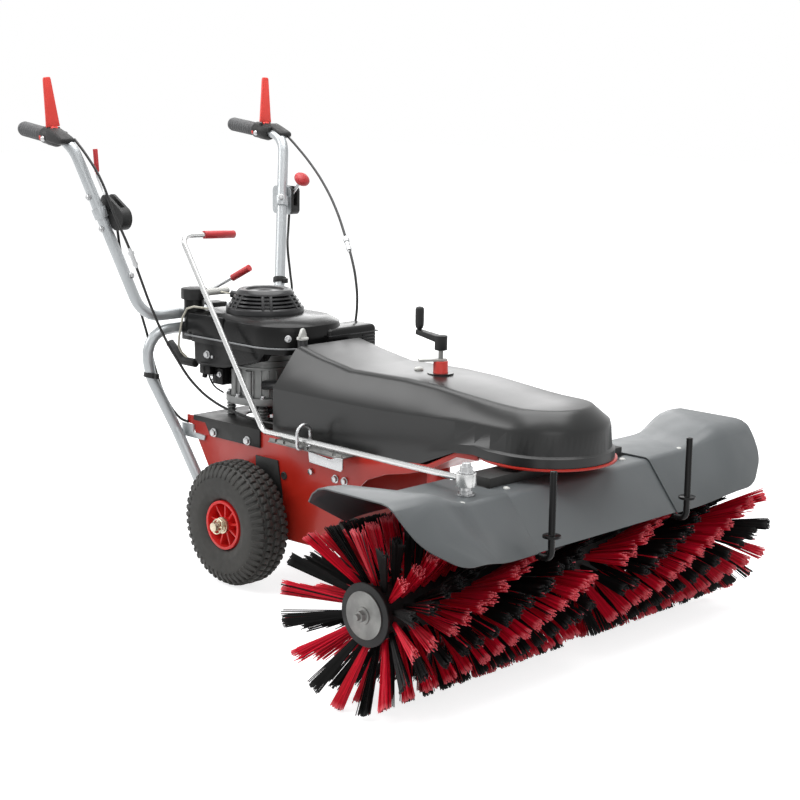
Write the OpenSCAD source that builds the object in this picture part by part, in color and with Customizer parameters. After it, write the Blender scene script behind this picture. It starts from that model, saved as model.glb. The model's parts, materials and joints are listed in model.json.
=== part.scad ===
// Walk-behind power brush sweeper.
// +Z is up, the brush faces -Y, the operator stands at +Y, the machine's right side is -X.
// Inside the modules Y is counted from the wheel axle; placed() moves all of it to the part's origin.

/* [Wheels] */
// Tyre radius, tread included
tyre_r = 137.5; // [125:0.5:150]
// Tyre width
tyre_w = 94; // [80:1:100]
// Distance of each wheel's middle from the machine's middle
wheel_x = 172; // [168:1:190]
// Radius where the tyre seats on the rim
rim_r = 54; // [48:1:60]
// Half axle radius
axle_r = 10; // [8:0.5:12]

/* [Frame] */
// Inner half width between the side plates
frame_half = 116; // [112:1:118]
// Side plate thickness
plate_t = 4; // [3:0.5:5]
// Height of the side plates' top edge
frame_top = 336; // [330:1:342]
// How far the frame reaches behind the axle
frame_rear = 215; // [205:1:225]
// Height of the raised deck under the nose
nose_z = 388; // [384:1:392]
// Radius of the round nose plate
nose_r = 136; // [130:1:142]
// Depth of the engine plate's side flanges
engine_flange_h = 40; // [30:1:46]

/* [Brush] */
// Radius of the brush at the bristle tips
brush_r = 171; // [165:0.5:173]
// Distance from the wheel axle to the brush axis
brush_reach = 728; // [722:1:736]
// Half length of the brush, at the outer faces of its end discs
brush_half = 497; // [480:1:505]
// Radius of the brush core
core_r = 50; // [44:1:54]
// Bristle tips stay this far above the ground
ground_gap = 1; // [0.6:0.1:3]
// Tufts round the brush
tufts_round = 16; // [14:1:18]
// Tufts along each half of the brush
tufts_along = 13; // [11:1:13]

/* [Hood] */
// Half length of the hood
hood_half = 533; // [520:1:540]
// Half length of the hood's middle panel
hood_mid_half = 214; // [206:1:220]
// Hood sheet thickness
hood_t = 3; // [2:0.5:4]
// Height of the hood's flat top
hood_top = 362; // [360:0.5:364]
// How far the hood's ends swell outwards
hood_swell = 36; // [25:1:40]
// Guard post radius
post_r = 6.5; // [5:0.5:8]
// Distance of the guard posts from the middle
post_x = 208; // [190:1:212]

/* [Cover] */
// Half width of the belt cover at its shoulders
cover_half = 120; // [119:0.5:122]
// Half width of the belt cover's top
cover_top_half = 90; // [80:1:96]
// Cover wall
cover_t = 3; // [2:0.5:4]

/* [Engine] */
// Distance of the crankshaft behind the wheel axle
engine_y = 100; // [96:1:106]
// Height of the engine's mounting flange above the engine plate
engine_lift = 35; // [33:1:40]
// Radius of the mounting flange
flange_r = 88; // [82:1:92]
// Half width of the engine shroud
shroud_half = 112; // [106:1:114]
// Height of the shroud
shroud_h = 72; // [60:1:80]
// Radius of the starter cover
recoil_r = 88; // [80:1:92]

/* [Handle] */
// Upper handlebar tube radius
bar_r = 12.5; // [11.5:0.5:13.5]
// Lower handle tube radius
stay_r = 12.5; // [11:0.5:13]
// Height of the grip ends
grip_z = 973; // [950:1:990]
// Half distance between the grips
grip_x = 310; // [290:1:325]
// Length of a grip
grip_l = 92; // [84:1:98]
// Length of a dead-man lever
lever_l = 114; // [100:1:118]

/* [Height crank] */
// Distance of the crank ahead of the wheel axle
crank_reach = 442; // [436:1:448]
// Crank arm length
crank_arm = 61; // [50:1:70]
// Spindle radius
spindle_r = 5; // [4:0.5:6]
// Column radius
column_r = 18; // [16:0.5:20]
// Support wheel radius
support_r = 60; // [54:1:64]
// How far the support wheel trails behind its swivel
trail = 25; // [18:1:28]

/* [Steering rod] */
// Rod radius
rod_r = 6; // [5:0.5:7]
// Inner half width of the guide loop
loop_half = 14.5; // [14:0.5:17]

/* [Hidden] */
$fn = 48;

// Clearances
run_fit = 0.05;
seat_gap = 0.3;

// Origin: middle of the ground outline
post_y = -brush_reach - 186;
ring_r = 17;
grip_y = 579;
grip_r = 15.5;
grip_end = [grip_x, grip_y, grip_z];
bend_top = [grip_x + 4, 388, grip_z - 22];
grip_way = (grip_end - bend_top) / norm(grip_end - bend_top);
grip_cap = 4;
rear_reach = grip_y + grip_cap * grip_way[1] + grip_r * sqrt(1 - grip_way[1] * grip_way[1]);
origin_shift = (ring_r - post_y - rear_reach) / 2;

plate_out = frame_half + plate_t;
brush_y = -brush_reach;
brush_z = brush_r + ground_gap;
axle_z = tyre_r;
engine_top = frame_top + plate_t;

function unit(v) = v / norm(v);
function mix(a, b, f) = a + (b - a) * f;
function ease(f) = let (g = min(1, max(0, f))) g * g * (3 - 2 * g);
function mirrored(p) = [for (q = p) [-q[0], q[1], q[2]]];
function reversed(p) = [for (i = [len(p) - 1:-1:0]) p[i]];

// Points of an arc that rounds the corner b between a and c
function corner(a, b, c, r, steps) =
    let (u = unit(a - b), v = unit(c - b), half = acos(max(-1, min(1, u * v))) / 2,
         middle = b + unit(u + v) * (r / sin(half)), reach = r / tan(half),
         s = b + u * reach - middle, e = b + v * reach - middle, turn = 180 - 2 * half)
    turn < 2 ? [b] :
    [for (i = [0:steps]) middle + (sin(turn * (1 - i / steps)) * s
        + sin(turn * i / steps) * e) / sin(turn)];
function rounded(p, r, steps) = concat([p[0]],
    [for (i = [1:1:len(p) - 2]) each corner(p[i - 1], p[i], p[i + 1], r, steps)], [p[len(p) - 1]]);

// Directions along a path, and one side direction carried along it without twisting
function headings(p) = [for (i = [0:len(p) - 1]) unit(p[min(i + 1, len(p) - 1)] - p[max(i - 1, 0)])];
function carried(t, n, i) = i == len(t) ? [] :
    let (m = unit(n - (n * t[i]) * t[i])) concat([m], carried(t, m, i + 1));

module placed() translate([0, origin_shift, 0]) children();
module both() {
    children();
    mirror([1, 0, 0]) children();
}
module right() mirror([1, 0, 0]) children();
module sheet_x(x, t, points) translate([x, 0, 0]) rotate([90, 0, 90]) linear_extrude(t) polygon(points);
module bar_x(x0, x1, r) translate([x0, 0, 0]) rotate([0, 90, 0]) cylinder(h = x1 - x0, r = r);
module bar_y(y0, y1, r) translate([0, y1, 0]) rotate([90, 0, 0]) cylinder(h = y1 - y0, r = r);
module box(low, high) translate(low) cube(high - low);
module along(a, b) {
    d = b - a;
    translate(a) rotate([0, acos(d[2] / norm(d)), atan2(d[1], d[0])]) children();
}
module ring_z(r, wire) rotate_extrude() translate([r, 0]) circle(wire, $fn = 16);

// Round bar along a path, closed at both ends
module swept(path, r, sides) {
    t = headings(path);
    n = carried(t, abs(t[0][0]) > 0.8 ? [0, 0, 1] : [1, 0, 0], 0);
    last = (len(path) - 1) * sides;
    points = [for (i = [0:len(path) - 1]) for (k = [0:sides - 1])
        path[i] + r * (cos(360 * k / sides) * n[i] + sin(360 * k / sides) * cross(t[i], n[i]))];
    walls = [for (i = [0:len(path) - 2]) for (k = [0:sides - 1])
        let (a = i * sides + k, b = i * sides + (k + 1) % sides)
        each [[a, b + sides, b], [a, a + sides, b + sides]]];
    polyhedron(points, concat([[for (k = [0:sides - 1]) k]], walls,
        [[for (k = [sides - 1:-1:0]) last + k]]));
}

// Sheet between two grids of points of the same size, rows by columns, outer first
module sheet_between(outer, inner, rows, cols) {
    base = rows * cols;
    function at(i, j) = i * cols + j;
    skin = [for (i = [0:rows - 2]) for (j = [0:cols - 2])
        each [[at(i, j), at(i, j + 1), at(i + 1, j + 1)], [at(i, j), at(i + 1, j + 1), at(i + 1, j)]]];
    back = [for (f = skin) [base + f[0], base + f[2], base + f[1]]];
    ends = [for (j = [0:cols - 2]) each [
        [at(0, j), base + at(0, j), base + at(0, j + 1)],
        [at(0, j), base + at(0, j + 1), at(0, j + 1)],
        [at(rows - 1, j), base + at(rows - 1, j + 1), base + at(rows - 1, j)],
        [at(rows - 1, j), at(rows - 1, j + 1), base + at(rows - 1, j + 1)]]];
    sides = [for (i = [0:rows - 2]) each [
        [at(i, 0), base + at(i + 1, 0), base + at(i, 0)],
        [at(i, 0), at(i + 1, 0), base + at(i + 1, 0)],
        [at(i, cols - 1), base + at(i, cols - 1), base + at(i + 1, cols - 1)],
        [at(i, cols - 1), base + at(i + 1, cols - 1), at(i + 1, cols - 1)]]];
    polyhedron(concat(outer, inner), concat(skin, back, ends, sides));
}

// Frame

arm_y = -520;
rise_y = -606;
strip_y = brush_y + 73;
strip_top = nose_z + 4;
arm_top = frame_top + 13;
bearing_r = 24;

module side_plate() {
    profile = [[frame_rear, frame_top], [-345, frame_top], [arm_y, arm_top], [rise_y, strip_top],
        [strip_y, strip_top], [strip_y, strip_top - 12], [rise_y + 6, strip_top - 14], [arm_y - 4,
            arm_top - 11],
        [-470, frame_top - 14], [-405, frame_top - 28], [-352, frame_top - 49], [-310, frame_top - 86],
        [-259, frame_top - 173], [-215, axle_z - 25], [110, axle_z - 32], [159, frame_top - 106],
        [frame_rear, frame_top - 18]];
    difference() {
        sheet_x(frame_half, plate_t, profile);
        translate([0, 0, axle_z]) bar_x(frame_half - 1, plate_out + 1, bearing_r);
    }
}
module side_plates() color("firebrick") placed() both() side_plate();

swivel_r = 30;
column_seat_r = column_r + 6;
deck_rear = -25;
idler_x = 92;
idler_y = -220;
idler_pin_r = 6;
cable_stops = [[-90, -64], [100, -82]];

module deck_plate() {
    profile = [[deck_rear, frame_top], [arm_y, frame_top], [rise_y, nose_z], [brush_y, nose_z],
        [brush_y, nose_z - plate_t], [rise_y + 3, nose_z - plate_t], [arm_y + 3, frame_top - plate_t],
        [deck_rear, frame_top - plate_t]];
    color("firebrick") placed() difference() {
        union() {
            sheet_x(-frame_half, 2 * frame_half, profile);
            translate([0, brush_y, nose_z - plate_t]) cylinder(h = plate_t, r = nose_r, $fn = 96);
            translate([idler_x, idler_y, frame_top]) cylinder(h = 24, r = idler_pin_r);
            translate([idler_x, idler_y, frame_top]) cylinder(h = 8, r = idler_pin_r + 5);
            for (c = cable_stops) box([c[0] - 7, c[1] - 5, frame_top], [c[0] + 7, c[1] + 5, frame_top
                + 22]);
        }
        translate([0, brush_y, nose_z - 10]) cylinder(h = 20, r = swivel_r + run_fit);
        translate([0, -crank_reach, frame_top - 10]) cylinder(h = 20, r = column_seat_r);
    }
}

engine_plate_front = -23;
engine_plate_rear = 205;
pulley_hole_r = 44;

module engine_plate() color("dimgray") placed() difference() {
    union() {
        box([-plate_out - plate_t, engine_plate_front, frame_top], [plate_out + plate_t,
            engine_plate_rear, engine_top]);
        both() sheet_x(plate_out, plate_t, [[engine_plate_front, frame_top],
            [engine_plate_front, engine_top - engine_flange_h], [146, engine_top - engine_flange_h],
            [164, engine_top - 12], [engine_plate_rear, engine_top - 12], [engine_plate_rear, frame_top]]);
        for (a = [45:90:315]) translate([76 * cos(a), engine_y + 76 * sin(a), engine_top])
            cylinder(h = engine_lift, r = 8);
    }
    translate([0, engine_y, frame_top - 10]) cylinder(h = 30, r = pulley_hole_r);
}

wheel_plate_t = 3;
module wheel_plates() color("dimgray") placed() both() difference() {
    sheet_x(plate_out, wheel_plate_t, [[-8, 282], [-80, 282], [-95, 208], [-95, 120], [-8, 120]]);
    translate([0, 0, axle_z]) bar_x(plate_out - 1, plate_out + 10, bearing_r + 12);
}

gearbox_half = 62;
traction_y = -34;
traction_shaft_r = 9;
module traction_axle() color("gray") placed() difference() {
    union() {
        translate([0, 0, axle_z]) both() {
            bar_x(gearbox_half, plate_out + 1, bearing_r - run_fit);
            bar_x(frame_half - 8, frame_half, bearing_r + 11);
        }
        box([-gearbox_half, -60, axle_z - 46], [gearbox_half, 52, axle_z + 46]);
        translate([0, traction_y, axle_z + 46]) cylinder(h = 30, r = traction_shaft_r + 10);
        both() box([gearbox_half, -56, axle_z + 34], [frame_half, -30, axle_z + 40]);
    }
    translate([0, 0, axle_z]) both() bar_x(18, plate_out + 10, axle_r + run_fit);
    translate([0, traction_y, axle_z + 20]) cylinder(h = 100, r = traction_shaft_r + run_fit);
}
traction_z = frame_top - 22;
module traction_pulley() color("silver") placed() translate([0, traction_y, 0]) {
    translate([0, 0, axle_z + 22]) cylinder(h = traction_z + 14 - axle_z - 22, r = traction_shaft_r);
    translate([0, 0, traction_z]) grooved(traction_pulley_r, 11, traction_pulley_r);
}

// Frame fasteners: nuts on the plates, bolts on the engine plate, cover bolts
module nut_x(x, y, z, r, h) translate([x, y, z]) rotate([0, 90, 0]) cylinder(h = h, r = r, $fn = 6);
bolt_behind = 61;
cover_bolt_y = bolt_behind - crank_reach;
module frame_fasteners() color("silver") placed() {
    both() for (y = [17, 132]) {
        translate([0, y, engine_top - 30]) bar_x(plate_out + plate_t, plate_out + plate_t + 2, 10);
        nut_x(plate_out + plate_t + 2, y, engine_top - 30, 8, 5);
    }
    both() for (y = [-260, -288]) {
        translate([0, y, frame_top - 63]) bar_x(plate_out, plate_out + 2, 9);
        nut_x(plate_out + 2, y, frame_top - 63, 7, 5);
    }
    both() nut_x(plate_out, -186, frame_top - 60, 7, 6);
    translate([0, cover_bolt_y, lid_at(cover_bolt_y) + 0.1]) {
        cylinder(h = 2, r = 9);
        cylinder(h = 5, r = 6);
    }
}

// Belt cover: levels from the bottom edge to the top edge, each a line from the right rear round the nose

nose_steps = 16;
side_ys = [0, 0.12, 0.26, 0.4, 0.52, 0.66, 0.8, 0.88, 0.94];
function cover_top_at(y) = frame_top + (y > -115 ? 198 : y > -260 ? mix(169, 198, ease((y + 260) / 145))
    : y > -440 ? mix(172, 169, ease((y + 440) / 180)) : mix(154, 172,
        ease((y - brush_y) / (-440 - brush_y))));
function cover_shoulder_at(y) = frame_top + mix(121, 108, ease((y - brush_y - 28) / 380));
function cover_foot_at(y) = seat_gap + (y > -345 ? frame_top : y > arm_y ? mix(arm_top, frame_top,
    (y - arm_y) / (-345 - arm_y))
    : y > rise_y ? mix(strip_top, arm_top, (y - rise_y) / (arm_y - rise_y)) : y > strip_y - 6
        ? strip_top : nose_z);
// Each level: rear end, half width on the sides, radius round the nose, height rule and its offset
cover_levels = [[-62, 0, 11, 0, 0], [-62, 0, 11, 0, 18], [-62, 0, 5, 0, 22], [-62, 0, 2, 1, -6],
    [-68, -2, -1, 1, 4], [-108, 7, 5, 2, -9], [-115, 0, -3, 2, -2], [-118, -8, -11, 2, 0]];
function lid_at(y) = lookup(y, [for (f = side_ys) let (v = mix(cover_levels[7][0], brush_y, f)) [v,
    cover_top_at(v)]]);
function cover_height(rule, y, rise) = rise + (rule == 0 ? cover_foot_at(y) : rule == 1
    ? cover_shoulder_at(y) : cover_top_at(y));
function cover_point(level, k, wall) =
    let (g = cover_levels[level], sides = len(side_ys), total = 2 * (sides + nose_steps),
         left = k > total / 2, m = left ? total - k : k,
         edge = level < 5 ? cover_half : cover_top_half,
         wide = edge + g[1] - wall, r = edge + g[2] - wall,
         turn = m < sides ? 0 : 90 * (m - sides) / nose_steps,
         y = m < sides ? mix(g[0], brush_y, side_ys[m]) : brush_y - r * sin(turn),
         spread = m < sides ? mix(wide, r, ease((side_ys[m] - 0.7) / 0.3)) : r * cos(turn),
         z = cover_height(g[3], max(y, brush_y), g[4]) - (g[3] == 2 ? wall : 0))
    [left ? spread : -spread, y, z];
module cover_shell() {
    levels = len(cover_levels);
    count = 2 * (len(side_ys) + nose_steps) + 1;
    half = (count - 1) / 2;
    base = levels * count;
    function at(l, k) = l * count + k;
    points = [for (wall = [0, cover_t]) for (l = [0:levels - 1]) for (k = [0:count - 1]) cover_point(l,
        k, wall)];
    sides = [for (l = [0:levels - 2]) for (k = [0:count - 2])
        each [[at(l, k), at(l + 1, k), at(l + 1, k + 1)], [at(l, k), at(l + 1, k + 1), at(l, k + 1)]]];
    lid = [for (k = [0:half - 2]) each [
        [at(levels - 1, k), at(levels - 1, count - 1 - k), at(levels - 1, count - 2 - k)],
        [at(levels - 1, k), at(levels - 1, count - 2 - k), at(levels - 1, k + 1)]]];
    tip = [[at(levels - 1, half - 1), at(levels - 1, half + 1), at(levels - 1, half)]];
    skin = concat(sides, lid, tip);
    back = [for (f = skin) [base + f[0], base + f[2], base + f[1]]];
    foot = [for (k = [0:count - 2]) each [[at(0, k), at(0, k + 1), base + at(0, k + 1)],
        [at(0, k), base + at(0, k + 1), base + at(0, k)]]];
    rear = [for (l = [0:levels - 2]) each [
        [at(l, 0), base + at(l + 1, 0), at(l + 1, 0)], [at(l, 0), base + at(l, 0), base + at(l + 1, 0)],
        [at(l, count - 1), at(l + 1, count - 1), base + at(l + 1, count - 1)],
        [at(l, count - 1), base + at(l + 1, count - 1), base + at(l, count - 1)]]];
    l = levels - 1;
    brow = [[at(l, 0), base + at(l, 0), base + at(l, count - 1)],
        [at(l, 0), base + at(l, count - 1), at(l, count - 1)]];
    polyhedron(points, concat(skin, back, foot, rear, brow));
}
collar_r = 15;
grommet_r = 27;
module belt_cover() color([0.27, 0.28, 0.29]) placed() difference() {
    union() {
        cover_shell();
        translate([0, -crank_reach, lid_at(-crank_reach) - 2]) cylinder(h = 8, r = grommet_r);
    }
    translate([0, -crank_reach, frame_top]) cylinder(h = 250, r = collar_r + 1);
}

// Handle stay: lower tube bent to an inverted U, with its tabs to the side plates

bar_y0 = 282;
bar_z0 = 562;
tube_gap = 8;
stay_z = bar_z0 - bar_r - stay_r - tube_gap;
stay_foot_x = plate_out + stay_r + 0.5;
stay_tab_z = engine_top - engine_flange_h + 16;
stay_half = [[205, bar_y0, stay_z], [180, bar_y0 + 4, 421], [stay_foot_x + 6, 247, 301], [stay_foot_x,
    158, 172]];
module handle_stay() color("silver") placed() {
    swept(rounded(concat(reversed(mirrored(stay_half)), stay_half), 55, 5), stay_r, 16);
    both() sheet_x(plate_out, 4, [[246, stay_tab_z], [engine_plate_rear + 1, stay_tab_z],
        [engine_plate_rear + 1, stay_tab_z - 17],
        [164, stay_tab_z - 19], [168, stay_tab_z - 30], [246, stay_tab_z - 30]]);
    both() translate([0, 164, 190]) bar_x(plate_out, stay_foot_x, 8);
}

clamp_half = 24;
clamp_bolt_r = 3.5;
clamp_bolt_z = stay_z + stay_r + tube_gap / 2;
clamp_front = bar_y0 - 20;
clamp_back = bar_y0 + 20;
module handle_clamp() color("dimgray") placed() difference() {
    box([-clamp_half, clamp_front, stay_z - stay_r - 6], [clamp_half, clamp_back, bar_z0 + bar_r + 5]);
    translate([0, bar_y0, stay_z]) bar_x(-50, 50, stay_r + run_fit);
    translate([0, bar_y0, bar_z0]) bar_x(-50, 50, bar_r + run_fit);
    translate([0, 0, clamp_bolt_z]) bar_y(clamp_front - 5, clamp_back + 5, clamp_bolt_r + run_fit);
}

// Steering guide

notch_z = frame_top + 1;
loop_x = 168.5;
loop_y = -214;
loop_wire = 4;
loop_rise = 52;
notch_out = loop_x + loop_half + loop_wire + 6;
module rod_guide() color("lightgray") placed() right() {
    difference() {
        union() {
            box([plate_out, -312, notch_z - 3], [notch_out, -60, notch_z]);
            box([plate_out, -312, frame_top - 42], [plate_out + 3, -176, notch_z - 3]);
        }
        for (i = [0:3]) box([notch_out - 22, -300 + i * 18, notch_z - 5], [notch_out + 5, -292 + i * 18,
            notch_z + 5]);
        for (i = [0:2]) box([notch_out - 22, -170 + i * 24, notch_z - 5], [notch_out - 6, -158 + i * 24,
            notch_z + 5]);
    }
    translate([loop_x, loop_y, notch_z - 1])
        swept(rounded([[-loop_half - loop_wire, 0, 0], [-loop_half - loop_wire, 0, loop_rise],
            [loop_half + loop_wire, 0, loop_rise], [loop_half + loop_wire, 0, 0]], loop_half, 6),
                loop_wire, 12);
}

// Engine

flange_z = engine_top + engine_lift;
flange_t = 16;
block_top = flange_z + 130;
crank_shaft_r = 11;
block_r = 72;
fin_count = 9;
fin_half = 60;
fin_rear = engine_y + 124;
module engine_block() color("gray") placed() difference() {
    union() {
        translate([0, engine_y, flange_z]) cylinder(h = flange_t, r = flange_r);
        translate([0, engine_y, flange_z]) cylinder(h = block_top - flange_z, r = block_r);
        box([-44, engine_y + 40, flange_z + 30], [44, fin_rear - 6, block_top - 8]);
        for (i = [0:fin_count - 1]) box([-fin_half, engine_y + 66, flange_z + 34 + i * 10],
            [fin_half, fin_rear, flange_z + 37 + i * 10]);
        for (a = [20, 160, 200, 340]) translate([block_r * cos(a), engine_y + block_r * sin(a),
            flange_z + flange_t])
            cylinder(h = 60, r = 9);
    }
    translate([0, engine_y, flange_z - 1]) cylinder(h = 200, r = crank_shaft_r + run_fit);
}

shroud_front = -85;
shroud_rear = 240;
shroud_top = block_top + shroud_h;
shroud_edge = 24;
shroud_nose = 95;
shroud_wall = 3;
// Shroud: square at the rear, round at the front, with its top edge rounded
module shroud_form(inset) {
    edge = shroud_edge - inset;
    nose = shroud_nose - inset;
    rise = shroud_h - 2 * inset;
    translate([0, 0, block_top + inset]) hull() for (side = [-1, 1]) {
        translate([side * (shroud_half - shroud_edge), shroud_rear - shroud_edge, 0]) {
            cylinder(h = 1, r = edge, $fn = 20);
            translate([0, 0, rise - edge]) sphere(edge, $fn = 20);
        }
        translate([side * (shroud_half - shroud_nose), shroud_front + shroud_nose, 0])
            for (f = [0, 0.3, 1])
                cylinder(h = rise - edge * (1 - f) * (1 - f), r = nose - edge * f * f, $fn = 64);
    }
}
module soft_box(low, high, r) hull() for (x = [low[0] + r, high[0] - r], y = [low[1] + r, high[1] - r]) {
    translate([x, y, high[2] - r]) sphere(r, $fn = 20);
    translate([x, y, low[2]]) cylinder(h = 1, r = r, $fn = 20);
}
cap_x = -shroud_half + 26;
cap_y = shroud_rear + 6;
neck_top = block_top + 92;
neck_r = 23;
cap_h = 25;
plug_r = 17;
module engine_shroud() color([0.1, 0.1, 0.11]) placed() difference() {
    union() {
        shroud_form(0);
        soft_box([18, shroud_front - 9, block_top], [shroud_half + 53, shroud_front + 65, block_top + 50], 12);
        sheet_x(-shroud_half + 6, 26, [[-23, block_top + 6], [0, block_top - 20], [117, block_top - 48],
            [197, block_top - 53], [shroud_rear - 20, block_top - 46], [shroud_rear - 18, block_top + 6]]);
        box([-shroud_half + 6, shroud_rear - 30, block_top], [-40, shroud_rear + 26, block_top + 40]);
        translate([cap_x, cap_y, block_top + 30]) cylinder(h = neck_top - block_top - 30, r = neck_r);
    }
    shroud_form(shroud_wall);
    translate([0, engine_y, block_top - 5]) cylinder(h = 20, r = crank_shaft_r + 3);
    translate([cap_x, cap_y, block_top + 44]) cylinder(h = 100, r = plug_r + run_fit);
}
module fuel_cap() color([0.1, 0.1, 0.11]) placed() translate([cap_x, cap_y, neck_top]) {
    translate([0, 0, seat_gap]) cylinder(h = cap_h, r = neck_r + 7, $fn = 10);
    translate([0, 0, -25]) cylinder(h = 30, r = plug_r);
}
recoil_top_r = 60;
recoil_h = 52;
starter_seat = [-34, engine_y + 58, shroud_top + 34];
starter_grip_at = [-58, engine_y + 98, shroud_top + 40];
starter_way = unit(starter_grip_at - starter_seat);
module recoil_cover() color([0.12, 0.12, 0.13]) placed() difference() {
    union() {
        recoil_bell();
        along(starter_seat - 14 * starter_way, starter_seat + 14 * starter_way) cylinder(h = 28, r = 8);
    }
    along(starter_seat - 6 * starter_way, starter_grip_at) cylinder(h = 60, r = 2 + run_fit);
}
module recoil_bell() translate([0, engine_y, shroud_top]) difference() {
    rotate_extrude() polygon([[0, recoil_h - 4], [recoil_top_r - 14, recoil_h - 4], [recoil_top_r - 12,
        recoil_h],
        [recoil_top_r, recoil_h], [recoil_r - 4, 14], [recoil_r, 12], [recoil_r, 0], [0, 0]]);
    for (i = [0:3]) translate([0, 0, 17 + i * 8]) rotate_extrude()
        translate([recoil_r - 12 - i * 6, 0]) square([30, 4]);
}
muffler_z = flange_z + 85;
module muffler() color([0.2, 0.2, 0.2]) placed() {
    box([fin_half + 26, 105, muffler_z - 38], [fin_half + 80, 225, muffler_z + 36]);
    translate([0, engine_y + 94, muffler_z - 3]) bar_x(fin_half, fin_half + 26, 15);
    translate([fin_half + 50, 105, muffler_z + 15]) bar_y(-14, 0, 9);
}
oil_x = -70;
oil_y = -101.5;
oil_top = block_top + 38;
oil_plug_r = 7;
module oil_tube() color([0.1, 0.1, 0.11]) placed() difference() {
    swept(rounded([[-46, engine_y - 50, flange_z + 45], [-62, -40, flange_z + 60], [oil_x, oil_y,
        flange_z + 95],
        [oil_x, oil_y, oil_top]], 20, 4), 11, 12);
    translate([oil_x, oil_y, oil_top - 20]) cylinder(h = 40, r = oil_plug_r + run_fit);
}
module oil_cap() color("lightgray") placed() translate([oil_x, oil_y, oil_top]) {
    translate([0, 0, -16]) cylinder(h = 18, r = oil_plug_r);
    translate([0, 0, seat_gap]) cylinder(h = 6, r = 13);
    rotate([0, 0, 20]) box([-15, -3.5, 4], [15, 3.5, 24]);
}
boot_x = -100;
boot_z = block_top - 34;
spark_route = [[-100, 256, 462], [-108, 266, 474], [-116, 266, 490], [-119, 260, 512], [-119, 254, 535],
    [-118, 248, 558],
    [-115, 236, 578], [-108, 220, 584], [-98, 204, 582], [-84, 192, 579.7]];
module spark_lead() color("wheat") placed() {
    swept(rounded([[boot_x, fin_rear + 1, boot_z - 18], [boot_x, shroud_rear + 30, boot_z - 18],
        [boot_x, shroud_rear + 78, boot_z + 18]], 14, 4), 10, 12);
    swept(spark_route, 2.5, 8);
}

// Starter: the rope from the starter cover to the parked grip
module starter_rope() color("wheat") placed()
    swept([for (f = [-0.1, 0.45, 0.93]) mix(starter_seat, starter_grip_at - 8 * starter_way, f)], 2, 8);
module starter_grip() color("gray") placed() translate(starter_grip_at) {
    bar_x(-30, 30, 8);
    both() bar_x(26, 33, 6);
}

// Height adjustment

collar_foot = 500;
collar_top = 534;
column_foot = 150;
module height_guide() color("red") placed() translate([0, -crank_reach, 0]) difference() {
    union() {
        translate([0, 0, 262]) cylinder(h = lid_at(-crank_reach) - 10 - 262, r = column_seat_r);
        translate([0, 0, collar_foot - 20]) cylinder(h = collar_top - collar_foot + 20, r = collar_r);
        translate([0, 0, collar_top]) box([-9, -12, 0], [9, 46, keeper_t]);
    }
    translate([0, 0, 260]) cylinder(h = lid_at(-crank_reach) - 20 - 260, r = column_r + run_fit);
    translate([0, 0, collar_foot - 60]) cylinder(h = 200, r = spindle_r + run_fit);
}
keeper_t = 3;
hub_rise = 20;
hub_foot = collar_top + keeper_t + hub_rise;
hub_h = 29;
crank_pin_r = 4;
module height_crank() {
    y = -crank_reach;
    color([0.15, 0.15, 0.16]) placed() {
        translate([0, y, 300]) cylinder(h = hub_foot - 300, r = spindle_r);
        translate([0, y, hub_foot]) cylinder(h = hub_h, r = 13);
        hull() {
            translate([0, y, hub_foot + hub_h - 14]) cylinder(h = 12, r = 10, $fn = 32);
            translate([0, y + crank_arm, hub_foot + hub_h - 4]) cylinder(h = 9, r = 8, $fn = 32);
        }
        translate([0, y + crank_arm, hub_foot + hub_h]) cylinder(h = 48, r = crank_pin_r);
    }
}
module crank_grip() color([0.12, 0.12, 0.12]) placed()
    translate([0, crank_arm - crank_reach, hub_foot + hub_h + 5 + seat_gap]) difference() {
        union() {
            cylinder(h = 44, r1 = 8, r2 = 9);
            translate([0, 0, 44]) cylinder(h = 4, r1 = 9, r2 = 6);
        }
        translate([0, 0, -1]) cylinder(h = 45, r = crank_pin_r + run_fit);
    }
fork_pin_r = 8;
module support_column() color("silver") placed() translate([0, -crank_reach, 0]) difference() {
    translate([0, 0, column_foot]) cylinder(h = 300, r = column_r);
    translate([0, 0, column_foot - 1]) cylinder(h = 60, r = fork_pin_r + run_fit);
    translate([0, 0, column_foot]) cylinder(h = 400, r = spindle_r + run_fit);
}
fork_half = 20;
module caster_fork() color([0.15, 0.15, 0.16]) placed() {
    y = -crank_reach;
    translate([0, y, column_foot - 20]) cylinder(h = 19.7, r = column_r);
    translate([0, y, column_foot - 20]) cylinder(h = 70, r = fork_pin_r);
    box([-fork_half - 4, y - 16, column_foot - 26], [fork_half + 4, y + trail + 12, column_foot - 20]);
    both() sheet_x(fork_half, 4, [[y - 16, column_foot - 26], [y + trail + 12, column_foot - 26],
        [y + trail + 12, support_r - 12], [y + trail - 12, support_r - 12]]);
    translate([0, y + trail, support_r]) bar_x(-fork_half - 6, fork_half + 6, 6);
}
module support_wheel() color([0.12, 0.12, 0.12]) placed() translate([0, trail - crank_reach,
    support_r]) difference() {
    union() {
        rotate([0, 90, 0]) rotate_extrude() polygon([[30, -17], [support_r - 6, -17], [support_r, -10],
            [support_r, 10], [support_r - 6, 17], [30, 17]]);
        bar_x(-10, 10, 30);
        bar_x(-fork_half + seat_gap, fork_half - seat_gap, 12);
    }
    bar_x(-30, 30, 6 + run_fit);
}

// Wheels

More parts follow.
